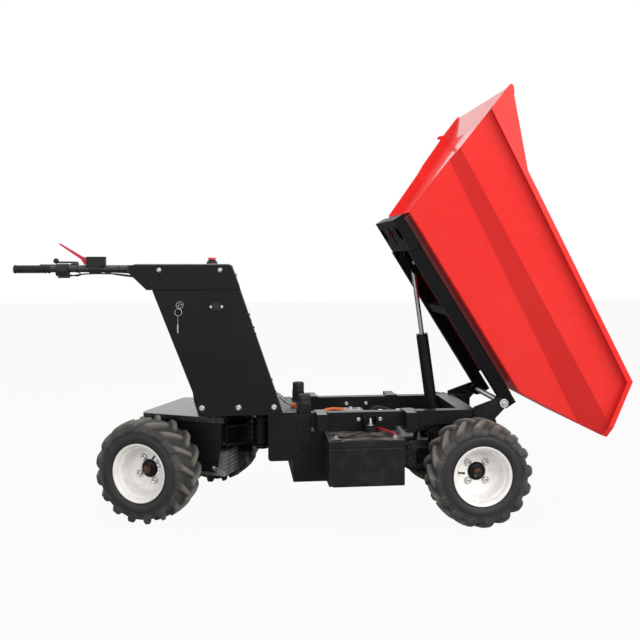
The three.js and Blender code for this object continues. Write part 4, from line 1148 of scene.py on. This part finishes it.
# A wire bracket under the throttle and the cables that run along the bar to the console.
BAR_Z, BAR_RADIUS = 0.997, 0.0131
throttle_low, throttle_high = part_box("throttle_housing")
front_x, back_x, side_y = throttle_high.x, throttle_low.x, throttle_low.y
bracket_run = [
    (front_x + 0.001, side_y + 0.020, 0.975), (front_x + 0.030, side_y + 0.022, 0.970),
    (front_x + 0.044, side_y + 0.022, 0.976), (front_x + 0.030, side_y + 0.022, 0.990),
]
bracket = cable_mesh("bracket", bracket_run, 0.0022, 2)
one_piece("bracket_wire", bracket, console_coat, "chassis", "black_plastic")
CABLES = {
    "throttle_cable": [
        (back_x + 0.024, side_y + 0.020, 0.966), (back_x + 0.060, side_y + 0.022, 0.972),
        (-0.930, -0.288, 0.9795), (-0.850, -0.279, 0.980), (-0.800, -0.272, 0.978), (-0.752, -0.265, 0.970),
    ],
    "tipping_cable": [
        (-0.852, -0.272, 0.9845), (-0.82, -0.262, 0.976), (-0.79, -0.255, 0.972), (-0.746, -0.250, 0.966),
    ],
    "direction_cable": [
        (-1.028, 0.095, 0.982), (-1.00, 0.094, 0.980), (-0.90, 0.086, 0.980), (-0.80, 0.080, 0.976),
        (-0.748, 0.075, 0.968),
    ],
}
for name, run in CABLES.items():
    one_piece(name, cable_mesh(name, run, 0.0028), hose_rubber, "chassis", "rubber")
ARM_START_X, ARM_START_Y, ARM_SLOPE = -0.760, 0.168, 0.032 / 0.422
TIE = [(BAR_RADIUS, -0.002), (0.0146, -0.002), (0.0146, 0.002), (BAR_RADIUS, 0.002), (BAR_RADIUS, -0.002)]
bar_ties = []
for x in (-0.955, -0.90, -0.80):
    y = middle_y - ARM_START_Y - ARM_SLOPE * (ARM_START_X - x)
    bar_ties.append(turned_at("tie", TIE, (x, y, BAR_Z), (1, BAR_SPLAY, 0), 32))
one_piece("cable_ties", joined("ties", bar_ties), control_plastic, "chassis", "black_plastic")
HOUSING_FACE = -0.2918
housing_screws = [((x, HOUSING_FACE, z), RIGHT, 0.0035) for z in (1.033, 0.986) for x in (-0.903, -0.865)]
fasten("housing_screws", "chassis", "domed", housing_screws, control_plastic, "black_plastic")


# --------------------------------------------------------- rear section: swivel, frame and its cover
# A welded frame that carries the rear axle and turns on the swivel pin, under a folded cover whose
# flat top has a smoother coat than the rest and mirrors the light.
REAR_TURN = math.radians(-25)
rear_ahead = Vector((math.cos(REAR_TURN), math.sin(REAR_TURN), 0))
rear_left = Vector((-math.sin(REAR_TURN), math.cos(REAR_TURN), 0))
swivel_pin = joint_place("rear_section")
swivel_pin.z = 0


def at_rear(x, y, z):
    """A place on the rear section: x ahead of the swivel pin, y to its left, z above the ground."""
    return swivel_pin + rear_ahead * x + rear_left * y + UP * z


rear_coat = black_coat("rear_powder_coat", 0.3)
for node in ("swivel_barrel", "rear_frame"):
    coated(node, rear_coat)

gloss = Finish("cover_gloss_coat", Specular_IOR_Level=0.5, Coat_Roughness=0.12)
film = gloss.noise(3.5, 4)
dusting = gloss.band(gloss.noise(55, 5), 0.5, 0.75)
gloss.set("Base Color", gloss.mix(dusting * 0.5, (0.012, 0.012, 0.0125), (0.09, 0.087, 0.082)))
gloss.set("Roughness", film * 0.22 + 0.2)
gloss.set("Coat Weight", gloss.band(gloss.upward(), 0.6, 0.95) * (film * 0.35 + 0.36))
gloss.bump(gloss.noise(600, 2), 0.0002, 0.3)
coated("rear_cover", gloss.material, 0.0022, 3)

# A zinc-plated slotted link beside the swivel, held by one small bolt.
LINK_LONG, LINK_HIGH, LINK_THICK, SLOT_HALF = 0.066, 0.0075, 0.003, 0.0028
LINK_SLOPE, LINK_X, LINK_Y, LINK_Z = math.radians(-25), -0.113, -0.1766, 0.186


def rounded_outline(half_height):
    """A long outline with round ends, which share their centres with those of the link."""
    outline = []
    for end, start in ((1, -90), (-1, 90)):
        centre = end * (LINK_LONG / 2 - LINK_HIGH)
        for i in range(9):
            a = math.radians(start + i * 22.5)
            outline.append((centre + half_height * math.cos(a), half_height * math.sin(a)))
    return outline


def link_mesh():
    """The outer outline's two edges, then the slot's."""
    bm = bmesh.new()
    rings = []
    edges = (LINK_HIGH, 0), (LINK_HIGH, LINK_THICK), (SLOT_HALF, LINK_THICK), (SLOT_HALF, 0)
    for half_height, depth in edges:
        ring = []
        for x, z in rounded_outline(half_height):
            ahead = x * math.cos(LINK_SLOPE) - z * math.sin(LINK_SLOPE)
            above = x * math.sin(LINK_SLOPE) + z * math.cos(LINK_SLOPE)
            ring.append(bm.verts.new(at_rear(LINK_X + ahead, LINK_Y - depth, LINK_Z + above)))
        rings.append(ring)
    bridged(bm, rings, "joined")
    return smooth(outward(bm, "link"), 40)


one_piece("slotted_link", link_mesh(), bright_zinc, "rear_section", "bright_steel")
REAR_SIDE, AXLE_BOLT_RADIUS = 0.1763, 0.0085
fasten("rear_frame_bolts", "rear_section", "hexagon", [
    (at_rear(-0.135, LINK_Y - LINK_THICK, 0.1963), -rear_left, 0.0062),
    (at_rear(-0.35, -REAR_SIDE, 0.255), -rear_left, AXLE_BOLT_RADIUS),
    (at_rear(-0.39, -REAR_SIDE, 0.255), -rear_left, AXLE_BOLT_RADIUS),
    (at_rear(-0.155, REAR_SIDE, 0.268), rear_left, AXLE_BOLT_RADIUS),
    (at_rear(-0.37, REAR_SIDE, 0.255), rear_left, AXLE_BOLT_RADIUS),
])
rear_lead = [
    at_rear(-0.25, -0.09, 0.262), at_rear(-0.20, -0.10, 0.29), at_rear(-0.15, -0.08, 0.335),
    at_rear(-0.13, -0.03, 0.345), at_rear(-0.135, 0.0, 0.350),
]
one_piece("rear_motor_lead", cable_mesh("lead", rear_lead, 0.0055), hose_rubber, "rear_section", "rubber")


# ------------------------------------------------------------------------ wheels: steel rims and tyres
# Pressed steel rims in a warm white coat, with domed bolts, a black valve stem, and in the centre hole a hub
# coated near-black for painted shade, with a rusty, greasy castle nut. Cross-ply tyres with a chevron tread: long
# bars that wrap over the shoulder.
def wheel_paint():
    """Warm white, stained a little by brown road dirt."""
    paint = Finish("rim_white_coat", Specular_IOR_Level=0.45)
    cloud = paint.noise(12, 5)
    grime = paint.noise(38, 5)
    stain = paint.band(cloud * grime, 0.29, 0.46)
    paint.set("Base Color", paint.mix(stain * 0.3, (0.94, 0.915, 0.88), (0.42, 0.33, 0.26)))
    paint.set("Roughness", grime * 0.25 + 0.24)
    paint.bump(paint.noise(260, 3), 0.0003, 0.3)
    return paint.material


def tyre_rubber():
    """Black on the side wall, greyer and dusty on the bars, brown in the grooves; a paler ring on the shoulder is
    partly dust and partly painted sheen.
    """
    rubber = Finish("tyre_rubber", Specular_IOR_Level=0.36)
    worn = rubber.add("ShaderNodeAttribute", {"attribute_name": "height_on_bar"}, out="Fac")
    cloud = rubber.noise(16, 5)
    fine = rubber.noise(150, 4)
    dust = rubber.band(worn + cloud * 0.5, 0.3, 1.3)
    wall = rubber.mix(fine, (0.013, 0.0133, 0.0140), (0.030, 0.030, 0.031))
    bar = rubber.mix(fine, (0.13, 0.122, 0.107), (0.285, 0.267, 0.236))
    rubber.set("Base Color", rubber.mix(dust, wall, bar))
    rubber.set("Roughness", fine * 0.2 + 0.5)
    rubber.bump(fine, 0.0008, 0.5)
    return rubber.material


TYRE_SIDES = 112
# The outside of the carcass from the bead over the wall to the middle: radius and half width.
CARCASS = [
    (0.1035, 0.052), (0.1085, 0.064), (0.1165, 0.0725), (0.1185, 0.0728), (0.123, 0.0770), (0.129, 0.0803),
    (0.136, 0.0818), (0.143, 0.0820), (0.149, 0.0808), (0.1515, 0.0796), (0.1525, 0.0788), (0.1545, 0.0790),
    (0.158, 0.0800), (0.161, 0.0795), (0.1655, 0.0778), (0.171, 0.0765), (0.1765, 0.0735), (0.180, 0.069),
    (0.1845, 0.050), (0.1865, 0.025), (0.187, 0.0),
]
# The tyre's hollow, which the rim closes.
INSIDE = [(0.115, -0.058), (0.165, -0.070), (0.172, -0.05), (0.172, 0.05), (0.165, 0.070), (0.115, 0.058)]


def turned_about_axle(name, outline, sides):
    """A closed outline of (radius, y) points turned about Y."""
    bm = bmesh.new()
    rings = []
    for a in circle(sides):
        rings.append([bm.verts.new((r * math.cos(a), y, r * math.sin(a))) for r, y in outline])
    bridged(bm, rings, "joined")
    return outward(bm, name)


# One bar: for each station y, top radius, foot radius, turn in degrees and half its width at the top.
BAR = [
    (0.0015, 0.2035, 0.184, 0.0, 0.0080),
    (0.012, 0.2042, 0.184, -1.8, 0.0084),
    (0.030, 0.2038, 0.183, -5.0, 0.0090),
    (0.045, 0.2028, 0.181, -7.8, 0.0096),
    (0.058, 0.2008, 0.178, -10.5, 0.0102),
    (0.067, 0.1985, 0.174, -12.4, 0.0108),
    (0.0725, 0.1945, 0.168, -13.9, 0.0135),
    (0.0765, 0.1880, 0.164, -14.9, 0.0165),
    (0.0795, 0.1800, 0.162, -15.7, 0.0185),
    (0.0812, 0.1715, 0.160, -16.3, 0.0180),
    (0.0818, 0.1640, 0.158, -16.8, 0.0135),
]
BAR_CHAMFER, BAR_CHAMFER_WIDTH, BAR_FLARE = 0.0016, 0.0022, 1.35
SHOULDER_Y, FOOT_ON_WALL_Y = 0.0725, 0.074  # past the shoulder the bar's foot lies inside the wall


def bar_mesh():
    """A tread bar at the top of a tyre that turns about Y, with chamfered edges and flared foot."""
    bm = bmesh.new()
    loops = []
    for y, top, foot, turn, half in BAR:
        wide = half * BAR_FLARE
        foot_y = FOOT_ON_WALL_Y if y > SHOULDER_Y else y
        shoulder = top - BAR_CHAMFER
        section = [
            (-wide, foot, foot_y), (-half, shoulder, y), (-half + BAR_CHAMFER_WIDTH, top, y),
            (half - BAR_CHAMFER_WIDTH, top, y), (half, shoulder, y), (wide, foot, foot_y),
        ]
        loop = []
        for across_bar, radius, side in section:
            a = math.pi / 2 + math.radians(turn) + across_bar / radius
            loop.append(bm.verts.new((radius * math.cos(a), side, radius * math.sin(a))))
        loops.append(loop)
    bridged(bm, loops, "capped")
    return outward(bm, "tread_bar")


def ring_of_bars_tree():
    """Turns Count copies of a bar about Y, each a Step further, and joins them to the carcass."""
    inputs = {"Bar": "Object", "Count": "Int", "Step": "Float", "Finish": "Material"}
    tree = new_tree("ring_of_bars", inputs)
    given = place(tree, "NodeGroupInput")
    bar = place(tree, "GeometryNodeObjectInfo", None, {"Object": (given, "Bar")})
    at_centre = {"Count": (given, "Count"), "Offset": (0, 0, 0)}
    spots = place(tree, "GeometryNodeMeshLine", {"mode": "OFFSET"}, at_centre)
    index = place(tree, "GeometryNodeInputIndex")
    turned_by = {0: (index, "Index"), 1: (given, "Step")}
    angle = place(tree, "ShaderNodeMath", {"operation": "MULTIPLY"}, turned_by)
    turn = place(tree, "ShaderNodeCombineXYZ", None, {"Y": (angle, "Value")})
    copies = place(tree, "GeometryNodeInstanceOnPoints", None, {
        "Points": (spots, "Mesh"), "Instance": (bar, "Geometry"), "Rotation": (turn, "Vector"),
    })
    real = place(tree, "GeometryNodeRealizeInstances", None, {"Geometry": (copies, "Instances")})
    both = place(tree, "GeometryNodeJoinGeometry")
    tree.links.new(given.outputs["Geometry"], both.inputs[0])
    tree.links.new(real.outputs["Geometry"], both.inputs[0])
    return finish_tree(tree, (both, "Geometry"), given)


BARS = 16
tread_tree = ring_of_bars_tree()
rubber_of_tyres = tyre_rubber()
white_rim = wheel_paint()


def share(value, start, run):
    """How far a value is past a start, as a share of a run between 0 and 1."""
    return min(1.0, max(0.0, (value - start) / run))


def tyre_mesh():
    """The carcass with a ring of bars on each half; the left half's are mirrored and half a step on."""
    mirrored = [(r, -y) for r, y in reversed(CARCASS[:-1])]
    mesh = turned_about_axle("carcass", CARCASS + mirrored + INSIDE, TYRE_SIDES)
    step = 2 * math.pi / BARS
    for side in (1, -1):
        bar = bar_mesh()
        if side < 0:
            bar.transform(Matrix.Rotation(-step / 2, 4, "Y") @ Matrix.Scale(-1, 4, LEFT))
            bar.flip_normals()
        pattern = in_scene("bar", bar)
        mesh = grown(mesh, tread_tree, Bar=pattern, Count=BARS, Step=step, Finish=rubber_of_tyres)
        bpy.data.objects.remove(pattern)
    heights = []
    for vert in mesh.vertices:
        radius = math.hypot(vert.co.x, vert.co.z)
        # The shoulder gets a paler ring: partly dust, partly painted sheen on the rounded shoulder.
        shoulder_dust_and_sheen = 0.22 * share(radius, 0.156, 0.012)
        heights.append(max(shoulder_dust_and_sheen, share(radius, 0.185, 0.016)))
    mesh.attributes.new("height_on_bar", "FLOAT", "POINT").data.foreach_set("value", heights)
    return smooth(mesh, 32)


# The rim: its disc from the centre hole, the outboard flange, the inboard flange and back to the disc.
RIM_PROFILE = [
    (0.036, -0.0085), (0.0375, -0.0070), (0.060, -0.0068), (0.0745, -0.0064), (0.0815, -0.0040),
    (0.0862, 0.0010), (0.0885, 0.0080), (0.0895, 0.024), (0.0915, 0.050), (0.0945, 0.0545),
    (0.0990, 0.0570), (0.1010, 0.0610), (0.1022, 0.0680), (0.1060, 0.0740), (0.1100, 0.0768),
    (0.1132, 0.0778), (0.1148, 0.0765), (0.1150, 0.0740), (0.1128, 0.0738), (0.1080, 0.0715),
    (0.1045, 0.0660), (0.1000, 0.0600),
    (0.1000, -0.0640), (0.1045, -0.0680), (0.1150, -0.0740), (0.1148, -0.0772), (0.1100, -0.0778),
    (0.1030, -0.0700), (0.0965, -0.0640), (0.0965, -0.0120), (0.0900, -0.0105), (0.036, -0.0105),
]
RIM_SIDES = 72
DRUM = [
    (0, -0.0108), (0.0495, -0.0108), (0.0495, -0.018), (0.035, -0.024), (0.035, -0.058),
    (0.0132, -0.058), (0.0132, -0.028), (0, -0.028),
]
HUB_BOSS = [
    (0, 0.002), (0.0105, 0.002), (0.014, 0.0008), (0.0155, -0.002), (0.0245, -0.003), (0.0285, -0.0055),
    (0.0295, -0.0112), (0, -0.0112),
]
CASTLE_NUT = [
    (0.0093, 0.0045), (0.0093, 0.0145), (0.01425, 0.0145), (0.0168, 0.0115), (0.0168, 0.0012),
    (0.0093, 0.0012), (0.0093, 0.0045),
]
STUD = [(0, 0.018), (0.00675, 0.018), (0.0087, 0.0165), (0.0087, 0.0012), (0, 0.0012)]


def hub_meshes():
    """The inboard drum with the hub's end, and the castle nut on its stud, seen through the rim's hole."""
    drum = smooth(turned_mesh("drum", DRUM, 40))
    boss = smooth(turned_mesh("boss", HUB_BOSS, 32))
    nut = smooth(turned_mesh("nut", CASTLE_NUT, 6), 20)
    stud = smooth(turned_mesh("stud", STUD, 20))
    return joined("hub", [drum, boss]), joined("nut", [nut, stud])


nut_metal = Finish("greasy_hub", Metallic=0.5)
rusty = nut_metal.noise(90, 5)
rust = nut_metal.mix(rusty, (0.045, 0.016, 0.009), (0.20, 0.10, 0.06))
grease = nut_metal.band(nut_metal.noise(30, 3), 0.42, 0.6)
nut_metal.set("Base Color", nut_metal.mix(grease, rust, (0.012, 0.011, 0.010)))
nut_metal.set("Roughness", rusty * 0.3 + 0.35)
nut_metal.bump(rusty, 0.0008, 0.6)
# The hub and its drum are coated near-black: painted shade deep in the rim's centre hole.
hub_shade_coat = black_coat("hub_painted_shade", 0.1)
steel_pin = zinc("cotter_steel", 0.3)
bolt_steel = zinc("wheel_bolt_steel", 0.14)
valve_rubber = moulded("valve_rubber", 0.012, 700, 0.45, 0.05)

BOLTS, BOLT_CIRCLE, BOLT_SEAT, BOLT_RADIUS = 4, 0.050, -0.0069, 0.0150
STEM = [
    (0, 0.034), (0.0035, 0.034), (0.004, 0.031), (0.004, 0.024), (0.0033, 0.0235), (0.0033, 0.012),
    (0.0065, 0.009), (0.0075, 0.004), (0.0075, -0.001), (0, -0.001),
]
COTTER_RUN = ((80, 0.0125, 0.0115), (80, 0.005, 0.0155), (300, 0.010, 0.0145), (305, 0.020, 0.009))
STEM_FOOT, STEM_END = (0.0895, 0.018), (0.060, 0.026)
# Where each wheel's first bolt and its valve stem stand: degrees clockwise from its left, from outside.
WHEELS = {
    "front_wheel_right": (45, 2),
    "front_wheel_left": (20, 70),
    "rear_wheel_right": (62, 125),
    "rear_wheel_left": (30, 130),
}
for wheel, (first_bolt, valve_at) in WHEELS.items():
    middle, axle = joint_place(wheel), joint_axis(wheel)
    outboard = axle if wheel.endswith("left") else -axle
    facing = Matrix((outboard.cross(UP), outboard, UP)).transposed().to_4x4()
    at_wheel = Matrix.Translation(middle) @ facing
    # The chevrons of all four tyres point the same way round, so the pattern is turned by side.
    rolled = Matrix.Identity(4) if wheel.endswith("right") else Matrix.Rotation(math.pi, 4, "Z")
    tyre = tyre_mesh()
    tyre.transform(at_wheel @ rolled @ Matrix.Rotation(math.radians(first_bolt / 3), 4, "Y"))
    tyre_node = wheel.replace("wheel", "tyre")
    one_piece(f"{tyre_node}_treaded", tyre, rubber_of_tyres, wheel, "tyre", tyre_node)

    rim = smooth(turned_about_axle("rim", RIM_PROFILE, RIM_SIDES), 40)
    rim.transform(at_wheel)
    one_piece(f"{wheel}_rim", rim, white_rim, wheel, "cream_paint", wheel)
    upright = at_wheel @ LEFT.to_track_quat("Z", "Y").to_matrix().to_4x4()
    hub, nut = hub_meshes()
    hub.transform(upright)
    nut.transform(upright)
    one_piece(f"{wheel}_hub", hub, hub_shade_coat, wheel, "cast_alloy")
    one_piece(f"{wheel}_castle_nut", nut, nut_metal.material, wheel, "cast_alloy")

    def on_wheel(degrees, radius, height):
        a = math.radians(degrees)
        return at_wheel @ Vector((radius * math.cos(a), height, radius * math.sin(a)))

    bolt_angles = (first_bolt + i * 360 / BOLTS for i in range(BOLTS))
    bolts = [(on_wheel(angle, BOLT_CIRCLE, BOLT_SEAT), outboard, BOLT_RADIUS) for angle in bolt_angles]
    fasten(f"{wheel}_bolts", wheel, "domed", bolts, bolt_steel)
    cotter = cable_mesh("cotter", [on_wheel(*point) for point in COTTER_RUN], 0.0013, 3)
    one_piece(f"{wheel}_cotter", cotter, steel_pin, wheel, "bright_steel")
    stem_foot = on_wheel(valve_at, *STEM_FOOT)
    stem_axis = (on_wheel(valve_at, *STEM_END) - stem_foot).normalized()
    stem = turned_at("stem", STEM, stem_foot, stem_axis, 20)
    one_piece(f"{wheel}_valve_stem", stem, valve_rubber, wheel, "black_plastic")


# --------------------------------------------------------------- tub: welded sheet steel in gloss red
# Sheet-metal tub with pressed steps, a folded rim and flared wings, welded to two beams. The red coat is
# glossiest on the rear wall; the black beams under it carry the pivot, the ram's bracket and the latch.
TIP = math.radians(58)
# The tub's own directions while it stands tipped: along its floor to the spout, and up from the floor.
tub_ahead = Vector((math.cos(TIP), 0, -math.sin(TIP)))
tub_up = Vector((math.sin(TIP), 0, math.cos(TIP)))
tilt_pin = joint_place("tub")
PIN_AHEAD, PIN_DROP = 0.870, 0.080


def on_tub(x, y, z):
    """A place on the tub: x along the floor from its rear corner, y to the left, z up from the floor."""
    return tilt_pin + tub_ahead * (x - PIN_AHEAD) + tub_up * (z + PIN_DROP) + LEFT * y


def red_coat(name, gloss=0.04, coat_index=1.4):
    """Gloss red with a little dust; below the floor sheet it is painted dark red, a painted shade under the floor.
    """
    coat = Finish(name, Specular_IOR_Level=0.16, Coat_Roughness=0.08, Coat_IOR=coat_index)
    dot = {"operation": "DOT_PRODUCT"}
    height = coat.add("ShaderNodeVectorMath", dot, {0: coat.here(), 1: tub_up}, out=1)
    # Below the floor sheet the red turns dark: painted shade under the tub's floor, on its ribs and underside.
    floor_height = on_tub(0, 0, 0).dot(tub_up)
    undarkened = coat.band(height, floor_height - 0.007, floor_height - 0.002)
    cloud = coat.noise(2.2, 3)
    dust = coat.band(coat.noise(30, 6), 0.55, 0.8)
    red = coat.mix(cloud, (0.86, 0.030, 0.026), (0.92, 0.040, 0.034))
    dusty = coat.mix(dust * 0.04, red, (0.55, 0.32, 0.28))
    coat.set("Base Color", coat.mix(undarkened, (0.115, 0.010, 0.010), dusty))
    coat.set("Roughness", cloud * 0.14 + 0.30)
    coat.set("Coat Weight", coat.band(cloud, 0.3, 0.7) * 0.06 + gloss)
    coat.bump(coat.noise(420, 2), 0.00018, 0.3)
    return coat.material


tub_red = red_coat("tub_red_coat")
SHEET_EDGE, SHEET_CREASE = 0.0009, 9
for node in ("tub_side_right", "tub_side_left", "tub_floor"):
    coated(node, tub_red, SHEET_EDGE, 2, SHEET_CREASE)
coated("tub_rear_wall", red_coat("tub_rear_wall_coat", 0.94, 2.2), SHEET_EDGE, 2, SHEET_CREASE)
tub_black = black_coat("tub_beam_coat", 0.04, 0.08)
for node in ("tub_beam_right", "tub_beam_left", "tub_channel", "tub_cross_tube", "rod_bracket"):
    coated(node, tub_black)
coated("latch_hook", tub_red, 0.0014, 3)

# The channel's underside is closed by a plate with a slot for the hook and an opening round each
# buffer, and its two ends by plates, all welded in.
def opened(mesh, *cutters):
    """A mesh with the shapes of other meshes cut out of it."""
    rough = in_scene("rough", mesh)
    tools = []
    for cutter in cutters:
        tool = in_scene("tool", cutter)
        cut = rough.modifiers.new("cut", "BOOLEAN")
        cut.operation = "DIFFERENCE"
        cut.solver = "EXACT"
        cut.object = tool
        tools.append(tool)
    result = baked(rough)
    for tool in tools:
        bpy.data.objects.remove(tool)
    return result


def tub_plate(name, low, high):
    """A flat plate between two corners in the tub's own frame."""
    bm = bmesh.new()
    bmesh.ops.create_cube(bm, size=1)
    for vert in bm.verts:
        share = vert.co + Vector((0.5, 0.5, 0.5))
        vert.co = on_tub(*(a + (b - a) * t for a, b, t in zip(low, high, share)))
    return sealed(bm, name)


CHANNEL_BACK, CHANNEL_FRONT, CHANNEL_HALF, CHANNEL_FOOT = 0.0045, 0.1405, 0.1985, -0.0725
SHEET, LANDING_TOP = 0.004, -0.0690
holes = [tub_plate("hook_slot", (0.026, -0.011, -0.080), (0.112, 0.011, -0.060))]
for side in ("right", "left"):
    low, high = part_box(f"tub_buffer_{side}")
    seat_x = (low.x + high.x) / 2 - tilt_pin.x + PIN_AHEAD
    seat_y = (low.y + high.y) / 2 - middle_y
    clearance = (high.x - low.x) / 2 + 0.006
    drill = [(0, -0.02), (clearance, -0.02), (clearance, 0.02), (0, 0.02)]
    holes.append(turned_at("opening", drill, on_tub(seat_x, seat_y, -0.072), tub_up))
landing_corners = (CHANNEL_BACK, -CHANNEL_HALF, CHANNEL_FOOT), (CHANNEL_FRONT, CHANNEL_HALF, LANDING_TOP)
landing = opened(tub_plate("landing_plate", *landing_corners), *holes)
one_piece("channel_landing_plate", ease_edges(landing, 0.0006, 1), tub_black, "tub", "black_paint")
for side, sign in (("right", -1), ("left", 1)):
    inner_corner = CHANNEL_BACK, sign * (CHANNEL_HALF - SHEET), LANDING_TOP
    end = tub_plate("end_plate", inner_corner, (CHANNEL_FRONT, sign * CHANNEL_HALF, -0.0315))
    one_piece(f"channel_end_plate_{side}", ease_edges(end, 0.0006, 1), tub_black, "tub", "black_paint")


# Weld beads where the beams, the ribs and the channel's ends are joined on.
RIPPLE, BEAD_SIDES = 0.004, 7


def bead(name, start, end, radius, material, slot):
    """A row of overlapping weld ripples along a line on the tub, pinched at its ends."""
    bm = bmesh.new()
    count = int((end - start).length / RIPPLE)
    along = (end - start).normalized()
    flat = along.cross(LEFT).normalized()
    other = along.cross(flat)
    rings = []
    for i in range(count + 1):
        swell = 0.82 + 0.18 * math.cos(i * math.pi) if 0 < i < count else 0.2
        centre = start.lerp(end, i / count)
        rings.append([
            bm.verts.new(centre + (flat * math.cos(a) + other * math.sin(a)) * (radius * swell))
            for a in circle(BEAD_SIDES)
        ])
    bridged(bm, rings, "capped")
    one_piece(name, smooth(outward(bm, name), 60), material, "tub", slot)


WELD_START_X = 0.03
for side, sign in (("right", -1), ("left", 1)):
    inner, outer = sign * 0.150, sign * 0.184
    bead(f"beam_weld_{side}", on_tub(WELD_START_X, outer, -0.0305), on_tub(0.86, outer, -0.0305),
         0.0022, tub_black, "black_paint")
    bead(f"rib_weld_{side}", on_tub(WELD_START_X, outer, -0.0032), on_tub(0.85, outer, -0.0032),
         0.0020, tub_red, "red_paint")
    bead(f"channel_weld_{side}", on_tub(0.148, inner, -0.030), on_tub(0.148, inner, -0.070),
         0.0022, tub_black, "black_paint")

# The end caps of the pin that holds the ram's eye in its bracket.
bracket_low, bracket_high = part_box("rod_bracket")
eye = on_tub(0.211, 0, -0.060)
fasten("rod_pin_caps", "tub", "hexagon", [
    (Vector((eye.x, bracket_low.y + 0.0002, eye.z)), RIGHT, 0.0085),
    (Vector((eye.x, bracket_high.y - 0.0002, eye.z)), LEFT, 0.0085),
])

# A small round boss on the far side's rear edge, for the load cover's hook.
boss = turned_at("boss", [
    (0, 0.014), (0.009, 0.014), (0.011, 0.012), (0.011, 0.003), (0.0125, 0), (0, 0),
], on_tub(-0.1705, 0.352, 0.435), -tub_ahead, 28)
one_piece("rim_boss", boss, tub_red, "tub", "red_paint")
